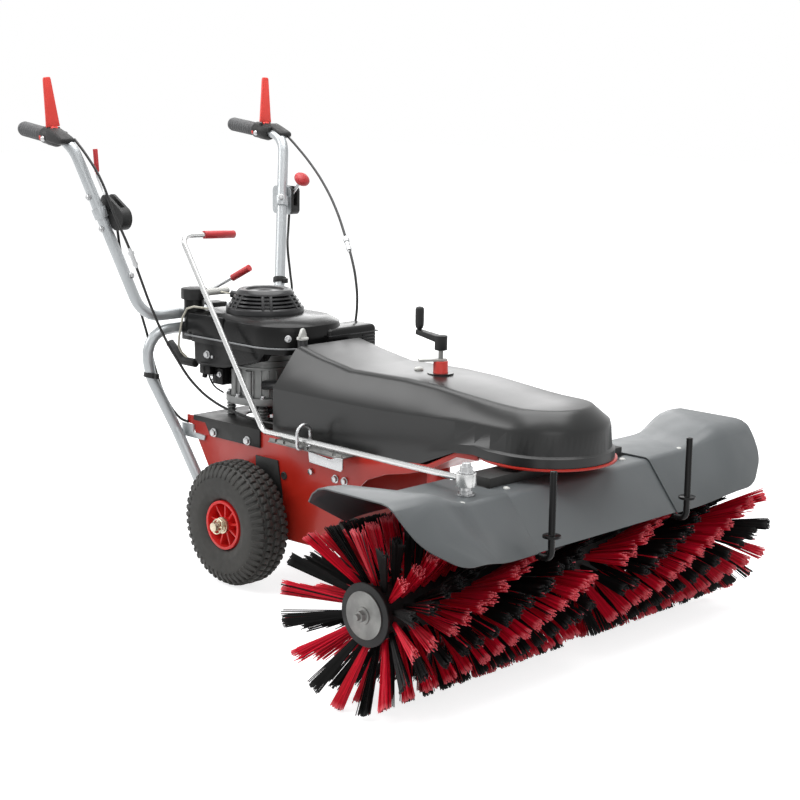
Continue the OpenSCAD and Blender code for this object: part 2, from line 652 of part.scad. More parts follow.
function bead(a) = let (mid = (rim_r - 6 + tyre_r) / 2, high = (tyre_r - rim_r + 6) / 2)
    [max(rim_r, mid + high * sign(cos(a)) * pow(abs(cos(a)), 0.72)),
     tyre_w / 2 * sign(sin(a)) * pow(abs(sin(a)), 0.72)];
rim_half = 40;
module tyre() translate([wheel_x, 0, axle_z]) rotate([0, 90, 0]) rotate_extrude($fn = 96)
    polygon([for (a = [0:12:348]) bead(a)]);
module rim() translate([wheel_x, 0, axle_z]) difference() {
    union() {
        difference() {
            bar_x(-rim_half, rim_half, rim_r);
            bar_x(-rim_half - 1, rim_half + 1, rim_r - 6);
        }
        bar_x(-4, 4, rim_r - 5);
        bar_x(-rim_half, rim_half - 4, axle_r + 7);
        for (i = [0:8]) rotate([40 * i, 0, 0]) box([-26, -2, axle_r + 2], [rim_half - 8, 2, rim_r - 5]);
    }
    bar_x(-60, 60, axle_r + run_fit);
}
module half_axle() {
    tip = wheel_x + rim_half + 26;
    translate([0, 0, axle_z]) {
        bar_x(20, tip, axle_r);
        bar_x(wheel_x + rim_half - 3.7, wheel_x + rim_half + 2, axle_r + 8);
        bar_x(wheel_x + rim_half + 2, wheel_x + rim_half + 5, axle_r + 5);
        translate([wheel_x + rim_half + 14, 0, 0]) rotate([0, 75, 0]) ring_z(axle_r + 6, 1.6);
        translate([wheel_x + rim_half + 14, 0, 0]) bar_y(-axle_r - 6, axle_r + 6, 2);
    }
}
module tyre_right() color([0.16, 0.16, 0.16]) placed() right() tyre();
module tyre_left() color([0.16, 0.16, 0.16]) placed() tyre();
module rim_right() color("red") placed() right() rim();
module rim_left() color("red") placed() rim();
module half_axle_right() color("khaki") placed() right() half_axle();
module half_axle_left() color("khaki") placed() half_axle();

// Brush head

beam_top = nose_z - plate_t - 7;
beam_h = 32;
beam_half = 200;
beam_deep = 30;
arm_out = 290;
stem_r = 22;
gear_half = 30;
gear_r = 42;
drive_r = 10;
shaft_r = 12;
module head_beam() color([0.16, 0.16, 0.16]) placed() translate([0, brush_y, 0]) difference() {
    union() {
        box([-beam_half, -beam_deep, beam_top - beam_h], [beam_half, beam_deep, beam_top]);
        translate([0, 0, beam_top]) cylinder(h = 6.7, r = swivel_r + 14);
        translate([0, 0, beam_top]) cylinder(h = nose_z - beam_top + 8, r = swivel_r);
        translate([0, 0, nose_z + seat_gap]) cylinder(h = 5, r = swivel_r + 10);
        both() box([beam_half, -20, hood_top - hood_t - 6], [arm_out, 20, hood_top - hood_t - 0.2]);
    }
    translate([0, 0, beam_top - beam_h - 1]) cylinder(h = 200, r = drive_r + run_fit);
}
module brush_gearbox() color("gray") placed() translate([0, brush_y, brush_z]) difference() {
    union() {
        bar_x(-gear_half, gear_half, gear_r);
        cylinder(h = beam_top - beam_h - brush_z, r = stem_r);
        translate([0, 0, beam_top - beam_h - brush_z - 10]) cylinder(h = 10, r = stem_r + 12);
    }
    bar_x(-gear_half + 6, gear_half - 6, gear_r - 6);
    bar_x(-60, 60, shaft_r + run_fit);
    cylinder(h = 300, r = drive_r + run_fit);
}

// Hood: one cross-section, from the front edge over the top to the rear edge

hood_front = [brush_y - 162, 264];
hood_brow = brush_y - 85;
hood_back = brush_y + 73;
hood_hem = [brush_y + 100, 322];
function hood_line(inset) = [for (p = rounded([[0, hood_front[0] + inset, hood_front[1]],
    [0, mix(hood_front[0], hood_brow, 0.45) + inset * 0.8, mix(hood_front[1], hood_top,
        0.45) - inset * 0.6],
    [0, hood_brow + inset * 0.3, hood_top - inset],
    [0, (hood_brow + hood_back) / 2, hood_top - inset], [0, hood_back - inset * 0.5, hood_top - inset],
    [0, hood_hem[0] - inset, hood_hem[1]]], 18, 3)) [p[1], p[2]]];
hood_edge = hood_line(0);
hood_cols = len(hood_edge);
function hood_normal(j) = let (d = hood_edge[min(j + 1, hood_cols - 1)] - hood_edge[max(j - 1,
    0)]) unit([-d[1], d[0]]);
function hood_depth(j) = let (p = hood_edge[j])
    p[0] < -750 ? (hood_top - p[1]) / (hood_top - hood_front[1])
        : (hood_top - p[1]) / (hood_top - hood_hem[1]);
hood_rows = 13;
hood_corner = 93;
rear_drop = 46;
function hood_point(i, j, wall) =
    let (f = i / (hood_rows - 1), limit = hood_half - hood_corner * pow(max(0, hood_depth(j)), 2.5),
         x = mix(hood_mid_half, limit, f),
         onset = hood_mid_half + mix(66, 178,
             (hood_edge[j][0] - hood_front[0]) / (hood_hem[0] - hood_front[0])),
         swell = ease((x - onset) / 125),
         out = hood_swell * swell - wall, drop = hood_edge[j][0] > -700 ? rear_drop * swell * max(0,
             hood_depth(j)) : 0)
    [x, hood_edge[j][0] + hood_normal(j)[0] * out, hood_edge[j][1] + hood_normal(j)[1] * out - drop];
module hood_end() {
    outer = [for (i = [0:hood_rows - 1]) for (j = [0:hood_cols - 1]) hood_point(i, j, 0)];
    inner = [for (i = [0:hood_rows - 1]) for (j = [0:hood_cols - 1]) hood_point(i, j, hood_t)];
    sheet_between(outer, inner, hood_rows, hood_cols);
}
module hood_right() color([0.42, 0.44, 0.45]) placed() right() hood_end();
module hood_left() color([0.42, 0.44, 0.45]) placed() hood_end();
hood_step = hood_t + 1;
module hood_middle() color([0.42, 0.44, 0.45]) placed() difference() {
    sheet_x(-hood_mid_half - 8, 2 * hood_mid_half + 16,
        concat(hood_line(hood_step), reversed(hood_line(hood_step + hood_t))));
    box([-hood_half, brush_y - beam_deep, beam_top - beam_h], [hood_half, brush_y + beam_deep, nose_z]);
}
post_top = 420;
post_hook_z = hood_front[1] - post_r - 0.3;
module guard_posts() color([0.13, 0.13, 0.13]) placed() both() translate([post_x, 0, 0]) {
    swept(rounded([[0, hood_front[0] + 8, post_hook_z], [0, post_y, post_hook_z], [0, post_y, post_top]],
        14, 5), post_r, 12);
    translate([0, post_y, 298]) cylinder(h = 5, r = ring_r);
}
stud_x = 280;
stud_y = brush_y - 42;
stud_r = 8;
eye_z = 391;
eye_h = 24;
module steering_stud() color("lightgray") placed() right() translate([stud_x, stud_y, 0]) {
    translate([0, 0, hood_top]) cylinder(h = 3, r = 17);
    translate([0, 0, hood_top]) cylinder(h = 9, r = 12, $fn = 6);
    translate([0, 0, hood_top]) cylinder(h = eye_z - eye_h / 2 - seat_gap - hood_top, r = 10);
    translate([0, 0, hood_top]) cylinder(h = 60, r = stud_r);
    translate([0, 0, eye_z + eye_h / 2 + seat_gap]) cylinder(h = 3, r = 15);
    translate([0, 0, eye_z + eye_h / 2 + seat_gap]) cylinder(h = 12, r = 12, $fn = 6);
}

// Brush

disc_r = 58.7;
zinc_r = 44;
core_in = 36;
disc_t = 6;
zinc_t = 3;
module brush_shaft() color("silver") placed() translate([0, brush_y, brush_z]) {
    bar_x(-brush_half + zinc_t, brush_half - zinc_t, shaft_r);
    bar_x(13, 23, 31);
    both() bar_x(brush_half - zinc_t, brush_half, zinc_r);
    both() bar_x(brush_half, brush_half + 3, 16);
    both() nut_x(brush_half + 3, 0, 0, 11, 9);
    both() bar_x(brush_half + 12, brush_half + 20, 6);
}
module brush_cores() color([0.13, 0.13, 0.13]) placed() translate([0, brush_y,
    brush_z]) both() difference() {
    union() {
        bar_x(core_in, brush_half - zinc_t, core_r);
        bar_x(brush_half - zinc_t - disc_t, brush_half - zinc_t, disc_r);
    }
    bar_x(0, brush_half + 10, shaft_r + run_fit);
}
// Bristles: a sleeve on the core, with one four-sided tuft standing on each of its cells
tuft_base = 0.34;
tuft_tip = 8;
tuft_turn = 64;
tuft_phase = 3;
tip_splay = 89;
tip_lean = 4;
sleeve_in = (core_r + run_fit) / cos(180 / tufts_round + tuft_turn / tufts_along / 2) + 0.1;
sleeve_r = sleeve_in + 3;
function tuft_x(f) = mix(core_in + 2, brush_half - zinc_t - disc_t - 0.5, f);
function tip_x(x) = let (f = (x - core_in) / (brush_half - core_in))
    x + tip_splay * pow(f, 5) - tip_lean * pow(1 - f, 4);
function on_drum(x, r, a) = [x, r * cos(a), r * sin(a)];
module bristles(turn) {
    n = tufts_round;
    m = tufts_along;
    step = 360 / n;
    wide = tuft_tip / brush_r * 180 / PI;
    tip_r = sqrt(brush_r * brush_r - tuft_tip * tuft_tip);
    rings = [for (r = [sleeve_r, sleeve_in]) for (i = [0:m]) for (k = [0:n - 1])
        on_drum(tuft_x(i / m), r, tuft_phase + step * k + turn * i / m)];
    base = len(rings);
    tufts = [for (i = [0:m - 1]) for (k = [0:n - 1])
        let (f = (i + 0.5) / m, a = tuft_phase + step * (k + 0.5) + turn * f, x = tuft_x(f),
            h = tuft_base * (tuft_x(1 / m) - tuft_x(0)))
        each concat([for (c = [[-1, -1], [1, -1], [1, 1], [-1, 1]]) on_drum(x + c[0] * h, sleeve_r, a
            + c[1] * step * 0.16)],
            [for (c = [[-1, -1], [1, -1], [1, 1], [-1, 1]]) on_drum(tip_x(x) + c[0] * tuft_tip, tip_r,
                a + c[1] * wide)])];
    inner = (m + 1) * n;
    function at(i, k) = i * n + k % n;
    cells = [for (i = [0:m - 1]) for (k = [0:n - 1])
        let (t = base + 8 * (i * n + k), q = [at(i, k), at(i + 1, k), at(i + 1, k + 1), at(i, k + 1)])
        each concat([for (s = [0:3]) let (e = (s + 1) % 4) each [[q[s], q[e], t + e], [q[s], t + e, t + s],
            [t + s, t + e, t + 4 + e], [t + s, t + 4 + e, t + 4 + s]]],
            [[t + 4, t + 5, t + 6], [t + 4, t + 6, t + 7]])];
    bore = [for (i = [0:m - 1]) for (k = [0:n - 1]) let (o = inner)
        each [[o + at(i, k), o + at(i + 1, k + 1), o + at(i + 1, k)], [o + at(i, k), o + at(i, k + 1),
            o + at(i + 1, k + 1)]]];
    ends = [for (k = [0:n - 1]) each [[at(0, k), at(0, k + 1), inner + at(0, k + 1)],
        [at(0, k), inner + at(0, k + 1), inner + at(0, k)],
        [at(m, k), inner + at(m, k + 1), at(m, k + 1)], [at(m, k), inner + at(m, k), inner + at(m, k
            + 1)]]];
    translate([0, brush_y, brush_z]) polyhedron(concat(rings, tufts), concat(cells, bore, ends));
}
module bristles_right() color("crimson") placed() right() bristles(tuft_turn);
module bristles_left() color("crimson") placed() bristles(-tuft_turn);

// Brush drive: pulley and upright shaft at the nose, crankshaft with its pulleys, belt between them

brush_pulley_r = 92;
engine_pulley_r = 27;
traction_pulley_r = 44;
belt_t = 9;
belt_w = 9;
brush_belt_z = nose_z + 28;
engine_belt_z = engine_top + 18;
module grooved(r, half, root) rotate_extrude() polygon([[0, -half], [r + 10, -half], [r + 10, 4 - half],
    [root, 5 - half],
    [root, half - 5], [r + 10, half - 4], [r + 10, half], [0, half]]);
module drive_shaft() color("silver") placed() translate([0, brush_y, 0]) {
    translate([0, 0, brush_z + 26]) cylinder(h = brush_belt_z - brush_z - 20, r = drive_r);
    translate([0, 0, brush_z + 24]) cylinder(h = 8, r1 = 11, r2 = drive_r);
    translate([0, 0, brush_belt_z]) grooved(brush_pulley_r, 18, brush_pulley_r - 1);
}
flywheel_z = block_top + 12;
module crankshaft() color("silver") placed() translate([0, engine_y, 0]) {
    translate([0, 0, traction_z - 14]) cylinder(h = flywheel_z + 24 - traction_z + 14, r = crank_shaft_r);
    translate([0, 0, engine_belt_z]) grooved(engine_pulley_r, 12, engine_pulley_r - 1);
    translate([0, 0, traction_z]) grooved(engine_pulley_r, 11, engine_pulley_r);
    translate([0, 0, flywheel_z]) cylinder(h = 22, r = 80);
}
belt_run = engine_y - brush_y;
belt_tilt = atan((brush_belt_z - engine_belt_z) / belt_run);
module belt_outline(front_y, front_r, grow) {
    lean = asin((front_r - engine_pulley_r) / (engine_y - front_y));
    translate([0, engine_y]) circle(engine_pulley_r + grow);
    translate([0, front_y]) circle(front_r + grow);
    polygon([for (s = [1, -1]) each let (e = engine_pulley_r + grow, b = front_r + grow,
        pe = [s * e * cos(lean), engine_y + e * sin(lean)], pb = [s * b * cos(lean), front_y
            + b * sin(lean)])
        s > 0 ? [pe, pb] : [pb, pe]]);
}
module belt(front_y, front_r) translate([0, -engine_y, -belt_w / 2]) linear_extrude(belt_w) difference() {
    belt_outline(front_y, front_r, belt_t);
    belt_outline(front_y, front_r, seat_gap);
}
module drive_belts() color([0.1, 0.1, 0.1]) placed() translate([0, engine_y, 0]) {
    translate([0, 0, engine_belt_z]) rotate([-belt_tilt, 0,
        0]) belt(engine_y - belt_run / cos(belt_tilt), brush_pulley_r);
    translate([0, 0, traction_z]) belt(traction_y, traction_pulley_r);
}
idler_l = 80;
roller_r = 16;
roller_z = mix(engine_belt_z, brush_belt_z, (engine_y - idler_y + idler_l) / belt_run);
module idler_arm() color("lightgray") placed() translate([idler_x, idler_y, 0]) difference() {
    union() {
        translate([0, 0, frame_top + 8 + seat_gap]) {
            cylinder(h = 14, r = idler_pin_r + 5);
            box([-9, -idler_l, 0], [9, 0, 6]);
            translate([0, -idler_l, 0]) cylinder(h = 6, r = 9);
        }
        translate([0, -idler_l, frame_top + 9]) cylinder(h = roller_z + 15 - frame_top - 9, r = 5);
        translate([0, -idler_l, roller_z - 13]) cylinder(h = 26, r = roller_r);
    }
    translate([0, 0, frame_top]) cylinder(h = 100, r = idler_pin_r + run_fit);
}

// Steering rod: eye on the stud, low run through the guide loop, upright and grip

rod_low = [-142, -55, 346];
rod_high = [-142, 222, 746];
rod_grip = [[-76, 222, 744], [12, 222, 740]];
module steering_rod() color("lightgray") placed() {
    eye = [-stud_x, stud_y, eye_z];
    difference() {
        union() {
            translate([0, 0, -eye_h / 2] + eye) cylinder(h = eye_h, r = 19);
            swept(rounded([mix(eye, rod_low, 0.02), rod_low, rod_high, mix(rod_grip[0], rod_grip[1],
                0.3)], 26, 6), rod_r, 12);
            along(rod_grip[0], rod_grip[1]) cylinder(h = norm(rod_grip[1] - rod_grip[0]), r = rod_r + 3);
        }
        translate([0, 0, -50] + eye) cylinder(h = 100, r = stud_r + run_fit);
    }
}

// Handlebar

bar_half = [grip_end, bend_top, [205, bar_y0, bar_z0]];
module handlebar() color("silver") placed() {
    swept(rounded(concat(mirrored(bar_half), reversed(bar_half)), 62, 6), bar_r, 16);
    translate([0, bar_y0, bar_z0]) bar_x(-clamp_half - 10, clamp_half + 10, bar_r + run_fit / 2);
}
function on_grip(s) = mix(grip_end, bend_top, s / norm(bend_top - grip_end));
module grips() color([0.3, 0.3, 0.31]) placed() both() difference() {
    union() {
        along(on_grip(-grip_cap), on_grip(grip_l)) cylinder(h = grip_l + grip_cap, r = grip_r);
        for (s = [8:11:grip_l - 8]) along(on_grip(s), on_grip(grip_l)) cylinder(h = 5, r = 17);
    }
    along(on_grip(0), on_grip(grip_l)) cylinder(h = grip_l + 20, r = bar_r + run_fit);
}
bracket_l = 55;
pivot_s = grip_l + 32;
pivot_rise = 18;
pivot = on_grip(pivot_s) + [0, 0, pivot_rise];
stop_at = on_grip(grip_l + 68);
module lever_brackets() color([0.14, 0.14, 0.15]) placed() difference() {
    union() {
        both() along(on_grip(grip_l + 1), bend_top) cylinder(h = bracket_l, r = bar_r + 6);
        both() box(pivot - [16, 11, 16], pivot + [16, 11, 7]);
        for (x = [-1, 1]) box([x * stop_at[0] + bar_r + 1.5, stop_at[1] - 12, stop_at[2] - 6],
            [x * stop_at[0] + bar_r + 17, stop_at[1] + 24, stop_at[2] + 7]);
    }
    both() along(on_grip(grip_l - 5), bend_top) cylinder(h = 100, r = bar_r + run_fit);
    both() box(pivot - [10, 40, 7], pivot + [10, 40, 60]);
    both() translate(pivot) bar_x(-30, 30, lever_pin_r + run_fit);
}
lever_pin_r = 3;
lean_back = 5;
lean_out = 4.5;
module dead_man_lever() translate(pivot) {
    bar_x(-9.7, 9.7, pivot_rise - bar_r - seat_gap);
    bar_x(-15, 15, lever_pin_r);
    rotate([-lean_back, lean_out, 0]) translate([0, 3, 0]) rotate([90, 0, 0]) linear_extrude(6)
        polygon([[-6, 0], [6, 0], [6.5, 13], [17.5, 20], [10, lever_l - 6], [7, lever_l], [-7, lever_l],
            [-10, lever_l - 6], [-17.5, 20], [-6.5, 13]]);
}
module lever_right() color("tomato") placed() right() dead_man_lever();
module lever_left() color("tomato") placed() dead_man_lever();

// Control boxes on the handlebar legs, with their levers
function on_leg(z) = mix(bend_top, bar_half[2], (bend_top[2] - z) / (bend_top[2] - bar_half[2][2]));
box_z = 796;
throttle_pivot = [-on_leg(box_z)[0] + 26, on_leg(box_z)[1] - 20, box_z + 4];
shift_pivot = [on_leg(box_z)[0] + 28, on_leg(box_z)[1] + 2, box_z + 6];
pivot_pin_r = 4;
module leg_clamp(z, side) {
    a = on_leg(z);
    b = on_leg(z - 30);
    difference() {
        union() {
            mirror([side < 0 ? 1 : 0, 0, 0]) along(a, b) cylinder(h = 24, r = bar_r + 3.5);
            children();
        }
        mirror([side < 0 ? 1 : 0, 0, 0]) along(mix(b, a, 4), b) cylinder(h = 300, r = bar_r + run_fit);
    }
}
module control_boxes() color([0.13, 0.13, 0.14]) placed() {
    leg_clamp(box_z + 10, -1) difference() {
        translate(throttle_pivot) hull() {
            translate([0, 19, 19]) bar_x(-13, 13, 16);
            translate([0, -21, -16]) bar_x(-13, 13, 26);
        }
        box(throttle_pivot - [6, 30, 18], throttle_pivot + [6, 60, 60]);
        translate(throttle_pivot) bar_x(-40, 40, pivot_pin_r + run_fit);
    }
    leg_clamp(box_z + 10, 1) difference() {
        translate(shift_pivot) hull() for (y = [-8, 36], z = [-28, 16])
            translate([0, y, z]) bar_x(-14, 14, 12);
        box(shift_pivot - [6, 60, 18], shift_pivot + [6, 40, 60]);
        translate(shift_pivot) bar_x(-40, 40, pivot_pin_r + run_fit);
    }
}
module throttle_lever() color("red") placed() translate(throttle_pivot) {
    bar_x(-5.7, 5.7, 9);
    bar_x(-9, 9, pivot_pin_r);
    swept(rounded([[0, 0, 0], [0, 42, 43], [0, 63, 72], [0, 69, 131]], 18, 4), 3.5, 10);
    along([0, 64, 82], [0, 69, 131]) cylinder(h = 51, r = 5.5);
}
module shift_lever() color("red") placed() translate(shift_pivot) {
    bar_x(-5.7, 5.7, 9);
    bar_x(-9, 9, pivot_pin_r);
    along([0, 0, 0], [0, -43, 47]) {
        cylinder(h = 56, r = 4);
        translate([0, 0, 64]) rotate_extrude() polygon([for (a = [-90:15:90]) [20 * cos(a), 13 * sin(a)]]);
    }
}
module clamp_lever() color("red") placed() translate([0, 0, clamp_bolt_z]) {
    bar_y(clamp_back + seat_gap, clamp_back + 14, 10);
    bar_y(clamp_front - 8, clamp_back + 14, clamp_bolt_r);
    bar_y(clamp_front - 7, clamp_front - seat_gap, 8);
    swept(rounded([[0, clamp_back + 8, 0], [2, clamp_back + 10, 52], [30, 188, 119]], 24, 4), 5, 10);
    along([20, 236, 92], [30, 188, 119]) cylinder(h = 56, r = 8);
}

// Cables: each follows the handlebar at its upper end
stop_rest = [313.3, 420, 955];
leg_rest = [270.6, 345.8, 796];
function slack(route, way) = [for (i = [0:len(route) - 1]) route[i] + max(0, 1 - i / 5) * way];
function sided(v, side) = [side * v[0], v[1], v[2]];
drive_route = [[-292, 406, 955], [-290, 363, 920], [-284, 322, 871], [-276, 286, 798], [-264, 249, 724],
    [-250, 233, 666],
    [-230, 216, 592], [-208, 198, 525], [-188, 184, 480], [-160, 159, 423], [-132, 118, 382], [-106, 66,
        360],
    [-96, 0, 352], [-90, -57.8, 352]];
brush_route = [[334, 406, 955], [322, 350, 926], [306, 277, 883], [285, 207, 837], [258, 138, 784], [232,
    82, 731],
    [212, 40, 687], [196, 8, 634], [184, -8, 583], [172, -12, 530], [160, -14, 475], [148, -20, 425],
    [128, -38, 378], [108, -60, 355], [100, -75.6, 352]];
throttle_route = [[-244, 318, 758], [-224, 334, 705], [-208, 334, 645], [-190, 320, 588], [-172, 318, 535],
    [-160, 320, 500], [-150, 312, 440], [-140, 285, 370], [-126, 252, 326], [-122, 226, 319.6]];
shift_route = [[298, 350, 760], [288, 342, 725], [265, 319, 690], [253, 296, 625], [244, 280, 585],
    [224, 272, 530], [195, 264, 465], [165, 248, 400], [142, 232, 345], [122, 216, 319.6]];
adjuster_r = 5;
module right_cables() color("black") placed() {
    swept(slack(drive_route, sided(stop_at - stop_rest, -1)), 3, 8);
    along(drive_route[4], drive_route[5]) cylinder(h = 46, r = adjuster_r);
    swept(slack(throttle_route, sided(on_leg(box_z) - leg_rest, -1)), 3, 8);
}
module left_cables() color("black") placed() {
    swept(slack(brush_route, stop_at - stop_rest), 3, 8);
    along(brush_route[5], brush_route[6]) cylinder(h = 46, r = adjuster_r);
    swept(slack(shift_route, on_leg(box_z) - leg_rest), 3, 8);
}

side_plates();
deck_plate();
engine_plate();
wheel_plates();
traction_axle();
belt_cover();
frame_fasteners();
handle_stay();
handle_clamp();
rod_guide();
engine_block();
engine_shroud();
recoil_cover();
muffler();
oil_tube();
spark_lead();
starter_rope();
height_guide();
drive_belts();
right_cables();
left_cables();
tyre_right();
tyre_left();
rim_right();
rim_left();
half_axle_right();
half_axle_left();
head_beam();
brush_gearbox();
hood_middle();
hood_right();
hood_left();
guard_posts();
steering_stud();
brush_shaft();
brush_cores();
bristles_right();
bristles_left();
drive_shaft();
crankshaft();
traction_pulley();
idler_arm();
steering_rod();
height_crank();
crank_grip();
support_column();
caster_fork();
support_wheel();
handlebar();
grips();
lever_brackets();
control_boxes();
lever_right();
lever_left();
throttle_lever();
shift_lever();
clamp_lever();
fuel_cap();
oil_cap();
starter_grip();
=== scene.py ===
import bpy
import json
import math
import random
from mathutils import Matrix, Vector

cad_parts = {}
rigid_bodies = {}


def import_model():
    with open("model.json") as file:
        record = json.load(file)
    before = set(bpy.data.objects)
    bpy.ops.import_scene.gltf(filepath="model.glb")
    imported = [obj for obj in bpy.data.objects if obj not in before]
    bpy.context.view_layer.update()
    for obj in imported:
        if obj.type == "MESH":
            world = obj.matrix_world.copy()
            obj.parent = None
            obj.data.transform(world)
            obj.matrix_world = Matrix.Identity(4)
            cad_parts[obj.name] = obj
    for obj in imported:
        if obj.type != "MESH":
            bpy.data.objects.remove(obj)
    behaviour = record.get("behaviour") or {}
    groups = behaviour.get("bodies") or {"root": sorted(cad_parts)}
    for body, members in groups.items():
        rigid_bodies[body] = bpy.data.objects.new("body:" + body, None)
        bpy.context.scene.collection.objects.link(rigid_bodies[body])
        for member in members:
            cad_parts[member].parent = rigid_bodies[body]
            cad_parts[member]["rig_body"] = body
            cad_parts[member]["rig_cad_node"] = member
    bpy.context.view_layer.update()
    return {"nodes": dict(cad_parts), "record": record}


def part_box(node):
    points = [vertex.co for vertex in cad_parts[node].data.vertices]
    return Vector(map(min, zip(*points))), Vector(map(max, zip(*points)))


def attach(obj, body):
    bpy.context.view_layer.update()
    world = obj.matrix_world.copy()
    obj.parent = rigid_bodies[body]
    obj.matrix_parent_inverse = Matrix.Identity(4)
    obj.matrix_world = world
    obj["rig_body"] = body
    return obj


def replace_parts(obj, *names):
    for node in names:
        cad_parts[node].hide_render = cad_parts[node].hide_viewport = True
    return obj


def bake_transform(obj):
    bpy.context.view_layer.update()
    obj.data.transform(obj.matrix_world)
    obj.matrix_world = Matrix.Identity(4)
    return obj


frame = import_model()
cad = frame["nodes"]
bodyOf = {name: body for body, names in frame["record"]["behaviour"]["bodies"].items() for name in names}
mm = 0.001
wheelLow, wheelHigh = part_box("tyre_right")
axle = (wheelLow + wheelHigh) / 2  # middle of the right wheel
upAxis, wheelAxis = (0, 0, 1), (1, 0, 0)
sideNames = {-1: "right", 1: "left"}
dice = random.Random(41)
print("frame loaded:", len(cad), "nodes")


def at(x, y, z):  # millimetres from the wheel axle, on the ground
    return Vector((x * mm, y * mm + axle.y, z * mm))


def local(x, y, z):  # millimetres from the world's origin, for a piece that is moved later
    return Vector((x, y, z)) * mm


def shifted(place, step):
    return tuple(a + b for a, b in zip(place, step))


# Camera at the photograph's place
camera = {"place": (-2548.8, -2805.2, 1135.1), "heading": 45.23, "dip": 10.77, "roll": 0.70,
          "focal": 1727.55, "centre": (382.85, 388.88), "image": 800, "sensor": 36, "farthest": 60}


def makeCamera():
    heading, dip, roll = (math.radians(camera[k]) for k in ("heading", "dip", "roll"))
    ahead = Vector((math.sin(heading) * math.cos(dip), math.cos(heading) * math.cos(dip), -math.sin(dip)))
    level = Vector((math.cos(heading), -math.sin(heading), 0))
    up = level.cross(ahead)
    right = level * math.cos(roll) + up * math.sin(roll)
    top = up * math.cos(roll) - level * math.sin(roll)
    bpy.ops.object.camera_add()
    eye = bpy.context.active_object
    turn = Matrix((right, top, -ahead)).transposed().to_4x4()
    eye.matrix_world = Matrix.Translation(at(*camera["place"])) @ turn
    eye.data.sensor_width = camera["sensor"]
    eye.data.lens = camera["focal"] / camera["image"] * camera["sensor"]
    eye.data.shift_x = 0.5 - camera["centre"][0] / camera["image"]
    eye.data.shift_y = camera["centre"][1] / camera["image"] - 0.5
    eye.data.clip_end = camera["farthest"]
    bpy.context.scene.camera = eye


# Nodes: the few that the studio and the finishes are made of
def feed(tree, value, socket):  # a constant is set on the socket, an output is linked to it
    if isinstance(value, tuple):
        socket.default_value = (*value, 1)
    elif isinstance(value, (int, float)):
        socket.default_value = value
    else:
        tree.links.new(value, socket)


def fill(tree, node, values):
    for socket, value in values.items():
        feed(tree, value, node.inputs[socket])


def addNode(tree, kind, values, out=0, **settings):
    node = tree.nodes.new("ShaderNode" + kind)
    for name, value in settings.items():
        setattr(node, name, value)
    fill(tree, node, values)
    return node.outputs[out]


def addMath(tree, operation, first, second):
    return addNode(tree, "Math", {0: first, 1: second}, operation=operation)


def addNoise(tree, where, scale, detail=3.0):
    return addNode(tree, "TexNoise", {"Vector": where, "Scale": scale, "Detail": detail}, "Fac")


def addRange(tree, value, low, high, toLow, toHigh):
    values = {"Value": value, "From Min": low, "From Max": high, "To Min": toLow, "To Max": toHigh}
    return addNode(tree, "MapRange", values, "Result")


def addMix(tree, share, first, second):  # 6 and 7 are the colour sockets
    return addNode(tree, "Mix", {0: share, 6: first, 7: second}, 2, data_type="RGBA")


def addHeight(tree, where):
    return addNode(tree, "SeparateXYZ", {0: where}, "Z")


# Plain pale studio: sky, floor and soft lamps
studio = {"floor": (0.50, 0.50, 0.50), "floorRough": 0.9, "floorSpecular": 0.1, "glow": 0.80, "floorSize": 30,
          "floorDrop": 0.0006, "horizon": 0.26, "zenith": 0.62, "sky": (0.95, 0.97, 1.0), "white": (1.0, 1.0, 1.0),
          "lamps": [("overhead", (0.2, 0.2, 4.2), (0, 0, 0.3), 4.0, 230),
                    ("front", (-3.2, -4.2, 2.6), (0, -0.2, 0.4), 3.0, 34),
                    ("rightRear", (-3.0, 3.5, 3.1), (0, 0, 0.4), 2.4, 95),
                    ("back", (3.2, 3.6, 2.4), (0, 0.1, 0.6), 3.0, 60)]}


def seenByCamera(tree):  # 1 for camera, mirrored and see-through rays
    rays = tree.nodes.new("ShaderNodeLightPath")
    direct = addMath(tree, "MAXIMUM", rays.outputs["Is Camera Ray"], rays.outputs["Is Glossy Ray"])
    return addMath(tree, "MAXIMUM", direct, rays.outputs["Is Transmission Ray"])


def addSky(tree, colour, strength):
    return addNode(tree, "Background", {"Color": colour, "Strength": strength})


def makeSky():
    world = bpy.data.worlds.new("studioSky")
    world.use_nodes = True
    bpy.context.scene.world = world
    tree = world.node_tree
    tree.nodes.clear()
    out = tree.nodes.new("ShaderNodeOutputWorld")
    height = addHeight(tree, tree.nodes.new("ShaderNodeTexCoord").outputs["Generated"])
    rise = addRange(tree, height, 0, 1, studio["horizon"], studio["zenith"])
    shades = (seenByCamera(tree), addSky(tree, studio["sky"], rise), addSky(tree, studio["white"], 1))
    tree.links.new(addNode(tree, "MixShader", dict(enumerate(shades))), out.inputs[0])


def makeFloor():
    bpy.ops.mesh.primitive_plane_add(size=studio["floorSize"], location=(0, 0, -studio["floorDrop"]))
    floor = fixPlace(bpy.context.active_object)
    floor.name = "studioFloor"
    paper, tree, bsdf, _ = blankFinish("paleFloor")
    glow = addMath(tree, "MULTIPLY", seenByCamera(tree), studio["glow"])
    fill(tree, bsdf, {"Base Color": studio["floor"], "Roughness": studio["floorRough"],
                      "Specular IOR Level": studio["floorSpecular"], "Emission Color": studio["white"],
                      "Emission Strength": glow})
    floor.data.materials.append(paper)


def makeLamps():
    for name, place, aim, size, power in studio["lamps"]:
        bpy.ops.object.light_add(type="AREA", location=place)
        lamp = bpy.context.active_object
        lamp.name = name
        lamp.data.size = size
        lamp.data.energy = power
        lamp.rotation_euler = (Vector(aim) - Vector(place)).to_track_quat("-Z", "Y").to_euler()


